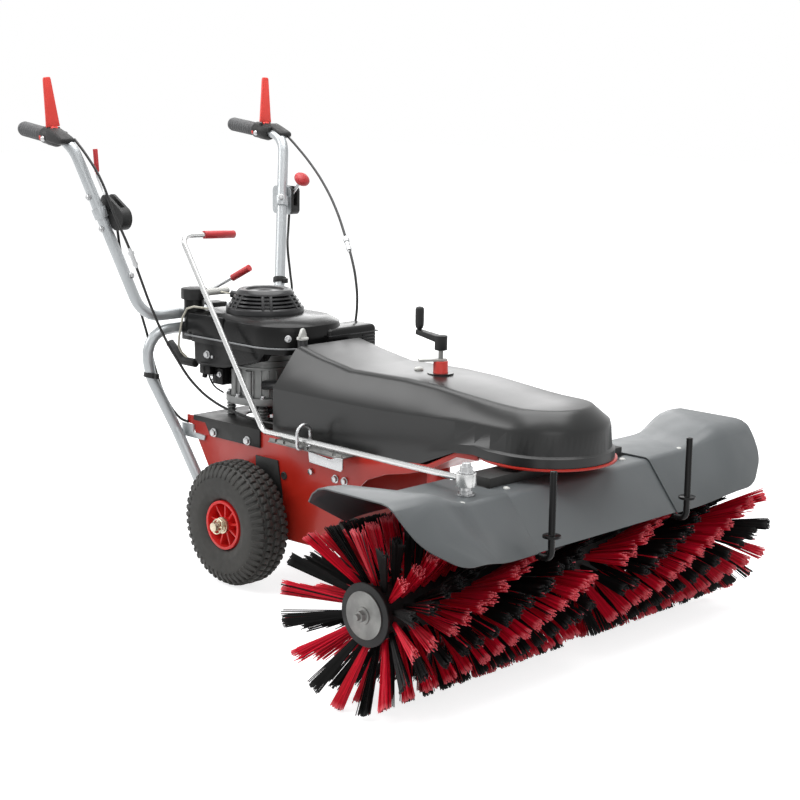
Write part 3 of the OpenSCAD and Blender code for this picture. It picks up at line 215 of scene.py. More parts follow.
# Finishes: two tones in soft patches, uneven roughness and a grain in the surface
texture = {"patchEdges": (0.35, 0.65), "wearEdges": (0.3, 0.7), "wearScale": 6, "wearDetail": 6, "dustScale": 9,
           "dustDetail": 5, "grainDetail": 2, "coatRough": 0.12, "strandScale": 160, "tipHighlightFrom": 0.92}


def blankFinish(name):
    finish = bpy.data.materials.new(name)
    finish.use_nodes = True
    tree = finish.node_tree
    bsdf = tree.nodes["Principled BSDF"]
    return finish, tree, bsdf, tree.nodes.new("ShaderNodeTexCoord").outputs["Object"]


def surfaceFinish(name, first, second, rough, patch, grain=900, relief=0.15, depth=0.0003, metal=0.0, coat=0.0,
                  dust=None, specular=0.5):
    finish, tree, bsdf, where = blankFinish(name)
    patches = addRange(tree, addNoise(tree, where, patch), *texture["patchEdges"], 0, 1)
    colour = addMix(tree, patches, first, second)
    if dust:  # a thin pale film low down, broken up by a finer noise
        low, high, film, most = dust
        fade = addRange(tree, addHeight(tree, where), low, high, most, 0)
        specks = addNoise(tree, where, patch * texture["dustScale"], texture["dustDetail"])
        colour = addMix(tree, addMath(tree, "MULTIPLY", fade, specks), colour, film)
    worn = addNoise(tree, where, patch * texture["wearScale"], texture["wearDetail"])
    look = {"Base Color": colour, "Metallic": metal, "Coat Weight": coat, "Coat Roughness": texture["coatRough"],
            "Roughness": addRange(tree, worn, *texture["wearEdges"], *rough), "Specular IOR Level": specular}
    if relief:
        height = addNoise(tree, where, grain, texture["grainDetail"])
        look["Normal"] = addNode(tree, "Bump", {"Strength": relief, "Distance": depth, "Height": height})
    fill(tree, bsdf, look)
    return finish


def strandFinish(name, first, second, rough, tip, specular):  # a tone for each filament, with a painted highlight along its last part
    finish, tree, bsdf, where = blankFinish(name)
    tone, end = (addNode(tree, "Attribute", {}, "Fac", attribute_name=label) for label in ("strandTone", "strandEnd"))
    colour = addMix(tree, tone, first, second)
    # painted highlight: the tip colour is laid over the last part of each strand
    colour = addMix(tree, addRange(tree, end, texture["tipHighlightFrom"], 1.0, 0, 1), colour, tip)
    worn = addNoise(tree, where, texture["strandScale"])
    fill(tree, bsdf, {"Base Color": colour, "Specular IOR Level": specular,
                      "Roughness": addRange(tree, worn, *texture["wearEdges"], *rough)})
    return finish


def look(*plain, **more):
    return plain, more


surfaces = {  # each finish: the record's slot, two tones, least and most roughness, size of patches, the rest
    "redPaint": look("red_paint", (0.45, 0.017, 0.008), (0.49, 0.021, 0.010), (0.30, 0.40), 5, grain=700,
                     relief=0.05, depth=0.0002, coat=0.15, dust=(0.0, 0.24, (0.30, 0.17, 0.12), 0.25), specular=0.35),
    "rimRed": look("bright_red", (0.66, 0.014, 0.014), (0.74, 0.019, 0.018), (0.30, 0.42), 9, grain=600, relief=0.08,
                   depth=0.0002, dust=(0.06, 0.16, (0.40, 0.12, 0.09), 0.22), specular=0.4),
    "leverRed": look("lever_red", (0.72, 0.048, 0.034), (0.80, 0.060, 0.045), (0.36, 0.50), 14, grain=800, relief=0.1),
    "sleeveRed": look("lever_red", (0.44, 0.020, 0.024), (0.52, 0.030, 0.034), (0.38, 0.52), 18),
    "blackPaint": look("black_paint", (0.013, 0.013, 0.013), (0.020, 0.020, 0.019), (0.38, 0.52), 8, grain=650,
                       relief=0.2, specular=0.3),
    "coverGrey": look("dark_plastic", (0.0075, 0.0078, 0.0076), (0.0090, 0.0094, 0.0091), (0.29, 0.32), 3,
                      grain=1100, relief=0.08, depth=0.0002, specular=0.42),
    "blackPlastic": look("black_plastic", (0.008, 0.008, 0.009), (0.012, 0.012, 0.013), (0.26, 0.38), 10,
                         relief=0.12, depth=0.0002, specular=0.4),
    "shroudBlack": look("black_plastic", (0.006, 0.006, 0.006), (0.009, 0.009, 0.009), (0.20, 0.27), 8, relief=0.03,
                        depth=0.0002, specular=0.17),
    "matBlack": look("black_plastic", (0.012, 0.012, 0.012), (0.018, 0.018, 0.018), (0.46, 0.60), 12, grain=700,
                     relief=0.25, specular=0.3),
    # pale grey on black plastic: a painted highlight of the sky along the shroud's ledge
    "trimGrey": look("black_plastic", (0.22, 0.225, 0.23), (0.27, 0.275, 0.28), (0.34, 0.46), 14, relief=0.1),
    "hoodGrey": look("hood_grey", (0.080, 0.088, 0.091), (0.090, 0.098, 0.101), (0.36, 0.45), 4, grain=1000,
                     relief=0.14, depth=0.0002, dust=(0.25, 0.34, (0.15, 0.15, 0.14), 0.2)),
    "zinc": look("zinc", (0.44, 0.445, 0.45), (0.50, 0.505, 0.51), (0.24, 0.32), 26, relief=0, metal=0.9),
    "rodZinc": look("zinc", (0.58, 0.585, 0.58), (0.64, 0.645, 0.64), (0.24, 0.28), 5, relief=0, metal=0.8),
    "dullZinc": look("zinc", (0.17, 0.17, 0.165), (0.25, 0.25, 0.24), (0.42, 0.55), 26, relief=0.12, depth=0.0002,
                     metal=0.8),
    "yellowZinc": look("yellow_zinc", (0.50, 0.44, 0.31), (0.58, 0.53, 0.41), (0.24, 0.36), 30, relief=0.12,
                       depth=0.0002, metal=0.9),
    "tubeSilver": look("tube_silver", (0.41, 0.43, 0.44), (0.45, 0.47, 0.48), (0.32, 0.40), 9, grain=1200,
                       relief=0.08, depth=0.0002, metal=0.5),
    "castAlloy": look("cast_alloy", (0.22, 0.225, 0.22), (0.29, 0.295, 0.29), (0.42, 0.60), 16, grain=420,
                      relief=0.4, depth=0.0004, metal=0.55),
    "rubber": look("rubber_black", (0.014, 0.014, 0.014), (0.022, 0.022, 0.021), (0.50, 0.66), 20, grain=600,
                   relief=0.3, specular=0.3),
    "gripGrey": look("grip_grey", (0.070, 0.071, 0.073), (0.090, 0.091, 0.093), (0.50, 0.64), 20, grain=700,
                     relief=0.3),
    "gripPale": look("grip_grey", (0.50, 0.50, 0.47), (0.60, 0.60, 0.57), (0.40, 0.54), 20),
    "tyreBlack": look("tyre_black", (0.034, 0.034, 0.032), (0.046, 0.045, 0.042), (0.56, 0.72), 14, grain=500,
                      relief=0.35, depth=0.0004, dust=(0.0, 0.30, (0.075, 0.069, 0.058), 0.40), specular=0.3),
    "cableBlack": look("cable_black", (0.010, 0.010, 0.010), (0.018, 0.018, 0.018), (0.34, 0.48), 30, specular=0.35),
    "cordCream": look("cord_cream", (0.50, 0.48, 0.40), (0.62, 0.59, 0.50), (0.6, 0.78), 60, grain=1500, relief=0.4,
                      depth=0.0004),
    "exhaust": look("exhaust_steel", (0.06, 0.056, 0.05), (0.12, 0.11, 0.10), (0.5, 0.7), 16, grain=500, relief=0.4,
                    depth=0.0004, metal=0.7),
}
strands = {
    # tip: a painted highlight on the last part of each strand
    "bristleRed": look("bristle_red", (0.46, 0.003, 0.014), (0.88, 0.010, 0.042), (0.40, 0.50),
                       tip=(0.90, 0.16, 0.19), specular=0.22),
    "bristleBlack": look("rubber_black", (0.002, 0.002, 0.002), (0.006, 0.006, 0.006), (0.45, 0.6),
                         tip=(0.03, 0.03, 0.03), specular=0.15),
}
finishes = {name: make(name, *plain[1:], **more) for make, table in ((surfaceFinish, surfaces), (strandFinish, strands))
            for name, (plain, more) in table.items()}


# Workbench: the few moves that every piece is made with
bench = {"weld": 0.000005, "skinWeld": 0.00002, "seed": 0.01, "curveSteps": 8, "rodAngle": 50}  # lengths in metres


def clearBench():
    if bpy.context.mode != "OBJECT":
        bpy.ops.object.mode_set(mode="OBJECT")
    bpy.ops.object.select_all(action="DESELECT")


def takeUp(piece):
    clearBench()
    piece.select_set(True)
    bpy.context.view_layer.objects.active = piece


def openMesh(piece):
    takeUp(piece)
    bpy.ops.object.mode_set(mode="EDIT")
    bpy.ops.mesh.select_mode(type="VERT")
    bpy.ops.mesh.select_all(action="SELECT")


def fixPlace(piece):  # its place, turn and size go into the mesh
    takeUp(piece)
    bpy.ops.object.transform_apply(location=True, rotation=True, scale=True)
    return piece


def moved(piece, matrix):
    piece.matrix_world = matrix
    return fixPlace(piece)


def turned(degrees, axis):
    return Matrix.Rotation(math.radians(degrees), 4, axis)


def swung(piece, centre, axis, degrees):  # turned in place about a line
    return moved(piece, Matrix.Translation(centre) @ turned(degrees, axis) @ Matrix.Translation(-centre))


def roundEdges(piece, edge, segments=2, angle=35):
    if edge:
        takeUp(piece)
        bevel = piece.modifiers.new("bevel", "BEVEL")
        bevel.width, bevel.segments = edge * mm, segments
        bevel.limit_method, bevel.angle_limit = "ANGLE", math.radians(angle)
        bpy.ops.object.modifier_apply(modifier=bevel.name)


def dress(piece, finish, angle):
    fixPlace(piece)
    bpy.ops.object.shade_smooth_by_angle(angle=math.radians(angle))
    piece.data.materials.clear()
    piece.data.materials.append(finishes[finish])


def settle(piece, finish, body, angle=35):
    dress(piece, finish, angle)
    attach(piece, body)
    return piece


def finished(name, parts, finish, body, angle=40):  # several parts as one piece
    return settle(joinAll(name, parts), finish, body, angle)


def settleAcross(piece, finish, angle, body, start, end):  # dressed, its place baked into the mesh
    dress(piece, finish, angle)
    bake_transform(piece)
    return piece


def pick(piece, kind, parts, test):  # leaves edit mode open with the faces or edges that pass
    openMesh(piece)
    bpy.ops.mesh.select_mode(type=kind)
    bpy.ops.mesh.select_all(action="DESELECT")
    bpy.ops.object.mode_set(mode="OBJECT")
    for part in parts:
        part.select = test(part)
    bpy.ops.object.mode_set(mode="EDIT")


def pickFaces(piece, test):
    pick(piece, "FACE", piece.data.polygons, test)


def pickFacing(piece, way, least=0.9):
    pickFaces(piece, lambda face: face.normal.dot(Vector(way)) > least)


def squeeze(piece, way, value, centre=(0, 0, 0), least=0.9):  # resizes the faces that look one way
    pickFacing(piece, way, least)
    bpy.ops.transform.resize(value=value, center_override=centre)
    clearBench()


def skinOf(node, finish, edge, angle=35, keep=None, tag="skin", creaseBelow=None, flat=0.6, shape=None):
    takeUp(cad[node])  # a copy of a CAD piece, its edges broken
    bpy.ops.object.duplicate()
    skin = bpy.context.active_object
    skin.name = node + "_" + tag
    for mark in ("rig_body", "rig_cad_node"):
        del skin[mark]
    skin.parent = None
    openMesh(skin)
    bpy.ops.mesh.remove_doubles(threshold=bench["skinWeld"])
    bpy.ops.mesh.customdata_custom_splitnormals_clear()
    if flat:
        bpy.ops.mesh.dissolve_limited(angle_limit=math.radians(flat))
    if keep:
        pickFaces(skin, lambda face: not keep((face.center - at(0, 0, 0)) / mm))
        bpy.ops.mesh.delete(type="FACE")
    if creaseBelow:  # the rim of these faces stays sharp
        pickFaces(skin, lambda face: face.center.z < creaseBelow * mm)
        bpy.ops.mesh.region_to_loop()
        bpy.ops.mesh.mark_sharp()
    clearBench()
    if shape:
        shape(skin)
    roundEdges(skin, edge, 2, angle)
    return settle(skin, finish, bodyOf[node], angle)


def newBox(name, low, high, edge=1.0, segments=2, place=at):
    clearBench()
    low, high = place(*low), place(*high)
    bpy.ops.mesh.primitive_cube_add(size=1, location=(low + high) / 2)
    piece = bpy.context.active_object
    piece.name = name
    piece.scale = high - low
    fixPlace(piece)
    roundEdges(piece, edge, segments)
    return piece


def newRod(name, start, end, radius, sides=32, edge=0.6):
    clearBench()
    run = end - start
    bpy.ops.mesh.primitive_cone_add(vertices=sides, radius1=radius * mm, radius2=radius * mm, depth=run.length,
                                    location=(start + end) / 2, rotation=run.to_track_quat("Z", "Y").to_euler())
    piece = fixPlace(bpy.context.active_object)
    piece.name = name
    roundEdges(piece, edge, 2, bench["rodAngle"])
    return piece


def drawLine(name, points):  # one point, drawn out from place to place and left selected
    clearBench()
    bpy.ops.mesh.primitive_plane_add(size=bench["seed"])
    piece = bpy.context.active_object
    piece.name = name
    openMesh(piece)
    bpy.ops.mesh.merge(type="CENTER")
    bpy.ops.transform.translate(value=points[0])
    for before, after in zip(points, points[1:]):
        bpy.ops.mesh.extrude_region_move(TRANSFORM_OT_translate={"value": after - before})
    bpy.ops.mesh.select_all(action="SELECT")
    return piece


def newTurned(name, profile, foot, axis, steps=48):  # profile: (radius, height) in mm, turned about an axis
    piece = drawLine(name, [local(r, 0, h) for r, h in profile])
    bpy.ops.mesh.spin(steps=steps, angle=2 * math.pi, center=(0, 0, 0), axis=upAxis)
    bpy.ops.mesh.select_all(action="SELECT")
    bpy.ops.mesh.remove_doubles(threshold=bench["weld"])
    bpy.ops.mesh.normals_make_consistent(inside=False)
    clearBench()
    piece.rotation_euler = Vector(axis).to_track_quat("Z", "Y").to_euler()
    piece.location = foot
    return fixPlace(piece)


def newPlate(name, outline, start, end, edge=1.0, segments=2):  # an outline in (y, z), drawn out along x
    piece = drawLine(name, [at(start, y, z) for y, z in (*outline, outline[0])])
    bpy.ops.mesh.remove_doubles(threshold=bench["weld"])
    bpy.ops.mesh.edge_face_add()
    bpy.ops.mesh.extrude_region_move(TRANSFORM_OT_translate={"value": ((end - start) * mm, 0, 0)})
    bpy.ops.mesh.select_all(action="SELECT")
    bpy.ops.mesh.normals_make_consistent(inside=False)
    clearBench()
    roundEdges(piece, edge, segments)
    return piece


def newTube(name, points, radius, smooth=True, sides=3):
    clearBench()
    line = bpy.data.curves.new(name, "CURVE")
    line.dimensions = "3D"
    line.bevel_depth = radius * mm
    line.bevel_resolution = sides
    line.use_fill_caps = True
    if smooth:
        spline = line.splines.new("BEZIER")
        spline.bezier_points.add(len(points) - 1)
        for knot, point in zip(spline.bezier_points, points):
            knot.co = point
            knot.handle_left_type = knot.handle_right_type = "AUTO"
        spline.resolution_u = bench["curveSteps"]
    else:
        spline = line.splines.new("POLY")
        spline.points.add(len(points) - 1)
        for knot, point in zip(spline.points, points):
            knot.co = (*point, 1)
    piece = bpy.data.objects.new(name, line)
    bpy.context.scene.collection.objects.link(piece)
    takeUp(piece)
    bpy.ops.object.convert(target="MESH")
    return bpy.context.active_object


boltLook = {"sides": 6, "edge": 0.7, "washerRim": 1.2, "washerTop": 1.8, "washerEdge": 0.6, "washerSteps": 28}


def hexBolt(name, place, axis, radius, height, washer):  # a six-sided head on its washer
    foot, rim, top = at(*place), boltLook["washerRim"], boltLook["washerTop"]
    end = foot + Vector(axis).normalized() * height * mm
    head = newRod(name, foot, end, radius, boltLook["sides"], boltLook["edge"])
    profile = [(0, 0), (washer, 0), (washer, rim), (washer - boltLook["washerEdge"], top), (0, top)]
    return joinAll(name, [head, newTurned(name + "_washer", profile, foot, axis, boltLook["washerSteps"])])


def joinAll(name, pieces):
    clearBench()
    for piece in pieces:
        piece.select_set(True)
    bpy.context.view_layer.objects.active = pieces[0]
    if len(pieces) > 1:
        bpy.ops.object.join()
    pieces[0].name = name
    return pieces[0]


def repeatRound(piece, count, centre, axis):  # the same shape, stepped round an axis
    openMesh(piece)
    bpy.ops.mesh.spin(steps=count - 1, dupli=True, angle=2 * math.pi * (count - 1) / count, center=centre, axis=axis)
    clearBench()
    return piece


def mirrored(piece, name):  # the other side's copy, across the machine's middle
    takeUp(piece)
    bpy.ops.object.duplicate()
    copy = bpy.context.active_object
    copy.name = name
    copy.scale = (-1, 1, 1)
    fixPlace(copy)
    openMesh(copy)
    bpy.ops.mesh.normals_make_consistent(inside=False)
    clearBench()
    return copy


bpy.context.scene.view_settings.view_transform = "Standard"
makeCamera()
makeSky()
makeFloor()
makeLamps()
print("camera and studio ready")

# Cables: the routes of the construction, in millimetres from the axle
cable = {"radius": 3, "sides": 4, "bend": ((0, 282, 470), (0, 320, 800))}  # two points between frame and handle
adjuster = [(0, 0), (4, 0), (4, 8), (7, 8), (7, 15), (5, 15), (5, 34), (6, 34), (6, 41), (4, 41), (4, 46), (0, 46)]
routes = {  # each cable: the node it replaces, the point with its adjuster, its points
    "drive": ("right_cables", 4, [
        (-292, 406, 955), (-290, 363, 920), (-284, 322, 871), (-276, 286, 798), (-264, 249, 724), (-250, 233, 666),
        (-230, 216, 592), (-208, 198, 525), (-188, 184, 480), (-160, 159, 423), (-132, 118, 382), (-106, 66, 360),
        (-96, 0, 352), (-90, -57.8, 352)]),
    "throttle": ("right_cables", None, [
        (-244, 318, 758), (-224, 334, 705), (-208, 334, 645), (-190, 320, 588), (-172, 318, 535), (-160, 320, 500),
        (-150, 312, 440), (-140, 285, 370), (-126, 252, 326), (-122, 226, 319.6)]),
    "brush": ("left_cables", 5, [
        (334, 406, 955), (322, 350, 926), (306, 277, 883), (285, 207, 837), (258, 138, 784), (232, 82, 731),
        (212, 40, 687), (196, 8, 634), (184, -8, 583), (172, -12, 530), (160, -14, 475), (148, -20, 425),
        (128, -38, 378), (108, -60, 355), (100, -75.6, 352)]),
    "shift": ("left_cables", None, [
        (298, 350, 760), (288, 342, 725), (265, 319, 690), (253, 296, 625), (244, 280, 585), (224, 272, 530),
        (195, 264, 465), (165, 248, 400), (142, 232, 345), (122, 216, 319.6)]),
}


def makeCable(name, node, adjustAt, route):
    points = [at(*p) for p in route]
    bend = [at(*p) for p in cable["bend"]]
    sleeve = newTube(name + "_cable", points, cable["radius"], sides=cable["sides"])
    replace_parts(settleAcross(sleeve, "cableBlack", 60, "handle", *bend), node)
    if adjustAt:
        foot, after = points[adjustAt:adjustAt + 2]
        barrel = newTurned(name + "_adjuster", adjuster, foot, after - foot, 12)
        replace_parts(settleAcross(barrel, "zinc", 40, "handle", *bend), node)


for name, plan in routes.items():
    makeCable(name, *plan)

# Starter rope: drawn out of the recoil cover by its grip
starterRope = {"radius": 2, "seat": (-34, 158, 611), "grip": (-58, 198, 617), "from": -0.08, "to": 0.84, "rings": 24,
               "held": 0.32, "drawn": 0.82}


def makeStarterRope():
    seat, end = at(*starterRope["seat"]), at(*starterRope["grip"])
    first, last, rings = (starterRope[k] for k in ("from", "to", "rings"))
    points = [seat.lerp(end, first + (last - first) * i / rings) for i in range(rings + 1)]
    rope = newTube("starter_cord", points, starterRope["radius"], smooth=False)
    bend = [seat.lerp(end, starterRope[k]) for k in ("held", "drawn")]
    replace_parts(settleAcross(rope, "cordCream", 60, "starter", *bend), "starter_rope")


makeStarterRope()
print("cables and rope laid")

# Brush: tufts of loose strands in twisted rows, red and black in turn
bristle = {"rows": 16, "along": 15, "first": 3, "twist": 64, "strands": 46, "root": 53.5, "tip": 169.5, "uneven": 5,
           "thick": 1.25, "rootSpread": 4.5, "tipSpread": 12.5, "endSpread": 3, "unlike": 0.14, "stagger": 5,
           "inner": 38, "outer": 487.5, "core": 36, "half": 497, "splay": 89, "lean": 4, "sag": (1.2, 1.5),
           "stray": 0.03, "axis": (-728, 172), "limit": 543.0, "cuts": (0.5, 0.97)}


def strandTemplate():  # one filament, three sided and cut square, along +Z from 0 to 1
    clearBench()
    bpy.ops.mesh.primitive_cone_add(vertices=3, radius1=1, radius2=0.9, depth=1, location=(0, 0, 0.5))
    model = fixPlace(bpy.context.active_object)
    openMesh(model)
    for cut in bristle["cuts"]:
        bpy.ops.mesh.select_all(action="SELECT")
        bpy.ops.mesh.bisect(plane_co=(0, 0, cut), plane_no=upAxis)
    clearBench()
    points = [v.co.copy() for v in model.data.vertices]
    faces = [list(p.vertices) for p in model.data.polygons if p.center.z > 0.01]  # the hidden root stays open
    bpy.data.objects.remove(model)
    return points, faces


def makeBristles(side, points, faces):
    built = {"bristleRed": ([], [], [], []), "bristleBlack": ([], [], [], [])}
    half, inner, outer, core, limit = (bristle[k] for k in ("half", "inner", "outer", "core", "limit"))
    middleY, middleZ = bristle["axis"]
    sagX, sagRound = bristle["sag"]
    twist = -side * bristle["twist"]  # one helix runs through both halves
    along = Vector((1, 0, 0))
    for i in range(bristle["along"]):
        share = (i + 0.5) / bristle["along"]
        x = inner + (outer - inner) * share
        f = (x - core) / (half - core)
        lean = bristle["splay"] * f ** 5 - bristle["lean"] * (1 - f) ** 4
        for row in range(bristle["rows"]):
            angle = math.radians(bristle["first"] + 360 / bristle["rows"] * (row + 0.5) + twist * share)
            radial = Vector((0, math.cos(angle), math.sin(angle)))
            around = Vector((0, -math.sin(angle), math.cos(angle)))
            driftX, driftRound = (dice.uniform(-1, 1) * bristle["stagger"] for _ in range(2))  # the tuft's own lean
            for _ in range(bristle["strands"]):
                stray = dice.random() < bristle["stray"]
                verts, polys, tones, ends = built["bristleRed" if (row % 2 == 1) != stray else "bristleBlack"]
                turn, out = dice.random() * 2 * math.pi, math.sqrt(dice.random())
                wide, deep = math.cos(turn) * out, math.sin(turn) * out
                root = radial * bristle["root"] + along * (x + wide * bristle["rootSpread"]) \
                    + around * deep * bristle["rootSpread"]
                reach = bristle["tip"] - dice.random() * bristle["uneven"]
                spread = bristle["tipSpread"] + bristle["endSpread"] * f ** 6
                spread *= 1 + bristle["unlike"] * dice.gauss(0, 1)
                tipX = min(x + lean + driftX + wide * spread, limit)
                aside = driftRound + deep * spread
                tip = radial * math.sqrt(reach ** 2 - aside ** 2) + along * tipX + around * aside
                sag = along * dice.uniform(-sagX, sagX) + around * dice.uniform(-sagRound, sagRound)
                run = tip - root
                square = run.to_track_quat("Z", "Y")
                tone = dice.random()
                base = len(verts)
                for p in points:
                    bend = sag * 4 * p.z * (1 - p.z)
                    spot = root + run * p.z + bend + square @ Vector((p.x, p.y, 0)) * bristle["thick"]
                    verts.append(at(side * spot.x, spot.y + middleY, spot.z + middleZ))
                    tones.append(tone)
                    ends.append(p.z)
                polys.extend([base + k for k in (face if side > 0 else reversed(face))] for face in faces)
    node = "bristles_" + sideNames[side]
    for finish, (verts, polys, tones, ends) in built.items():
        name = node + finish.removeprefix("bristle")
        mesh = bpy.data.meshes.new(name)
        mesh.from_pydata(verts, [], polys)
        for label, values in (("strandTone", tones), ("strandEnd", ends)):
            mesh.attributes.new(label, "FLOAT", "POINT").data.foreach_set("value", values)
        piece = bpy.data.objects.new(name, mesh)
        bpy.context.scene.collection.objects.link(piece)
        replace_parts(settle(piece, finish, "brush", 60), node)


oneStrand = strandTemplate()
for side in (-1, 1):
    makeBristles(side, *oneStrand)
print("bristles set")

# Tyres: a turned casing with rows of moulded blocks
tyre = {"radius": 137.2, "tread": 132.6, "bead": 54, "half": 47, "wheelX": 172, "blocks": 48, "long": 15.0,
        "wide": 16.5, "rows": [(0, 0.0, 0.0), (18.5, 0.5, 0.5), (-18.5, 0.5, 0.5)], "nose": 0.6, "chamfer": 0.86,
        "sunk": 4, "edge": 2.0, "squareness": 0.72, "steps": 72, "beadDepth": 6,
        "ringFrom": 68, "ringTo": 104, "ringPitch": 6, "ringRise": 1.012,
        "lug": {"across": 38.0, "height": 117.5, "wide": 12.5, "thick": 8, "reach": 30, "lean": 28,
                "below": (1, 0.6, 1), "outside": (1, 0.8, 0.9), "flank": 0.7},
        "wallInset": 0.8, "beadGap": 0.2, "flatFrom": 30, "turns": 96}


def bulge(share):
    return math.copysign(abs(share) ** tyre["squareness"], share)


def casingProfile():
    low, high = tyre["bead"] - tyre["beadDepth"], tyre["tread"]
    middle, tall = (low + high) / 2, (high - low) / 2
    profile = []
    for step in range(tyre["steps"] + 1):
        a = math.radians(360 / tyre["steps"] * step - 180)
        r = middle + tall * bulge(math.cos(a))
        h = (tyre["half"] - tyre["wallInset"]) * bulge(math.sin(a))
        if tyre["ringFrom"] < r < tyre["ringTo"] and int((r - tyre["ringFrom"]) / tyre["ringPitch"]) % 2:
            h *= tyre["ringRise"]  # moulded rings on the side walls
        profile.append((max(r, tyre["bead"] + tyre["beadGap"]), h))
    return profile


def treadBlock(across, shift, drop, centre):  # narrow nose, wide heel, sloped flanks
    halfWide, halfLong = tyre["wide"] / 2, tyre["long"] / 2
    block = newBox("tyre_block", (across - halfWide, -halfLong, tyre["tread"] - tyre["sunk"]),
                   (across + halfWide, halfLong, tyre["radius"] - drop), 0, place=local)
    middle = (across * mm, 0, 0)
    squeeze(block, (0, 1, 0), (tyre["nose"], 1, 1), middle)
    squeeze(block, upAxis, (tyre["chamfer"], tyre["chamfer"], 1), middle)
    roundEdges(block, tyre["edge"], 2, tyre["flatFrom"])
    moved(block, Matrix.Translation(centre) @ turned(shift * 360 / tyre["blocks"], "X"))
    return repeatRound(block, tyre["blocks"], centre, wheelAxis)


def shoulderLug(hand, centre):  # runs from the tread down the side wall, narrower below
    lug = tyre["lug"]
    half = Vector((lug["thick"], lug["wide"], lug["reach"])) / 2
    piece = newBox("tyre_lug", -half, half, 0, place=local)
    squeeze(piece, (0, 0, -1), lug["below"])
    squeeze(piece, (hand, 0, 0), lug["outside"], least=lug["flank"])
    roundEdges(piece, tyre["edge"], 2, tyre["flatFrom"])
    spot = centre + local(hand * lug["across"], 0, lug["height"])
    moved(piece, Matrix.Translation(spot) @ turned(-hand * lug["lean"], "Y"))
    return repeatRound(piece, tyre["blocks"], centre, wheelAxis)


def makeTyre(side):
    centre = Vector((side * tyre["wheelX"] * mm, axle.y, axle.z))
    sideName = sideNames[side]
    parts = [newTurned("tyre_casing_" + sideName, casingProfile(), centre, wheelAxis, tyre["turns"])]
    parts += [treadBlock(*row, centre) for row in tyre["rows"]]
    parts += [shoulderLug(hand, centre) for hand in (-1, 1)]
    whole = finished("tyre_tread_" + sideName, parts, "tyreBlack", "wheel_" + sideName)
    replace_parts(whole, "tyre_" + sideName)


for side in (-1, 1):
    makeTyre(side)
print("tyres moulded")

# Starter cover: slatted bell with ribs on the shroud
recoil = {"centre": (0, 100, 577), "steps": 72, "slatFoot": (84, 14), "slatTop": (60, 52), "drum": [(68, 2), (45, 46)],
          "rim": [(72, 0), (88, 0), (88, 9), (87, 11), (84, 14), (72, 14), (72, 0)],
          "cap": [(0, 45), (16, 45), (18, 46.5), (41, 46.5), (44, 51), (48, 52), (56, 52), (60, 50)],
          "capFoot": 45, "capEnd": (40, 43), "slats": 4, "firstSlat": 17.5, "pitch": 8, "slatDeep": 9,
          "slatThick": (3.6, 4), "ribs": 6, "ribTurn": 232, "postX": (72, 87), "postAside": 9, "postHalf": 3.5,
          "postZ": (11, 49), "postLean": -26.5, "postEdge": 1.5, "back": ((70, -9, 11), (83.5, 9, 48)),
          "backLean": -26, "socket": ((-26.8, 146.1, 609.2), (-41.2, 169.9, 612.8)), "socketRadius": 8}


def makeRecoil():
    (footWide, foot), (topWide, top) = recoil["slatFoot"], recoil["slatTop"]
    spot, capFoot = at(*recoil["centre"]), recoil["capFoot"]

    def wide(h):  # the bell's radius at a height
        return footWide + (topWide - footWide) * (h - foot) / (top - foot)

    def ribPart(name, low, high, lean, edge):  # leans in with the bell, one at each rib
        part = newBox(name, low, high, 0, place=local)
        pickFacing(part, upAxis)
        bpy.ops.transform.translate(value=local(lean, 0, 0))
        clearBench()
        roundEdges(part, edge)
        moved(part, Matrix.Translation(spot) @ turned(recoil["ribTurn"], "Z"))
        return repeatRound(part, recoil["ribs"], spot, upAxis)

    profiles = [recoil["rim"], [*recoil["cap"], (wide(capFoot), capFoot), recoil["capEnd"]]]
    outer, inner = recoil["slatThick"]
    for i in range(recoil["slats"]):
        h = recoil["firstSlat"] + i * recoil["pitch"]
        back = wide(h) - recoil["slatDeep"]
        profiles.append([(back, h), (wide(h), h), (wide(h + outer), h + outer), (back, h + inner), (back, h)])
    parts = [newTurned("recoil_ring", profile, spot, upAxis, recoil["steps"]) for profile in profiles]
    parts.append(newTurned("recoil_drum", recoil["drum"], spot, upAxis))
    (near, far), (low, high), half = recoil["postX"], recoil["postZ"], recoil["postHalf"]
    for hand in (-1, 1):  # each rib is a pair of posts with a recess between them
        y = hand * recoil["postAside"]
        post = (near, y - half, low), (far, y + half, high)
        parts.append(ribPart("recoil_post", *post, recoil["postLean"], recoil["postEdge"]))
    parts.append(ribPart("recoil_back", *recoil["back"], recoil["backLean"], 0))
    parts.append(newRod("recoil_socket", *(at(*p) for p in recoil["socket"]), recoil["socketRadius"], 24, 1.0))
    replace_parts(finished("recoil_bell", parts, "blackPlastic", "chassis"), "recoil_cover")


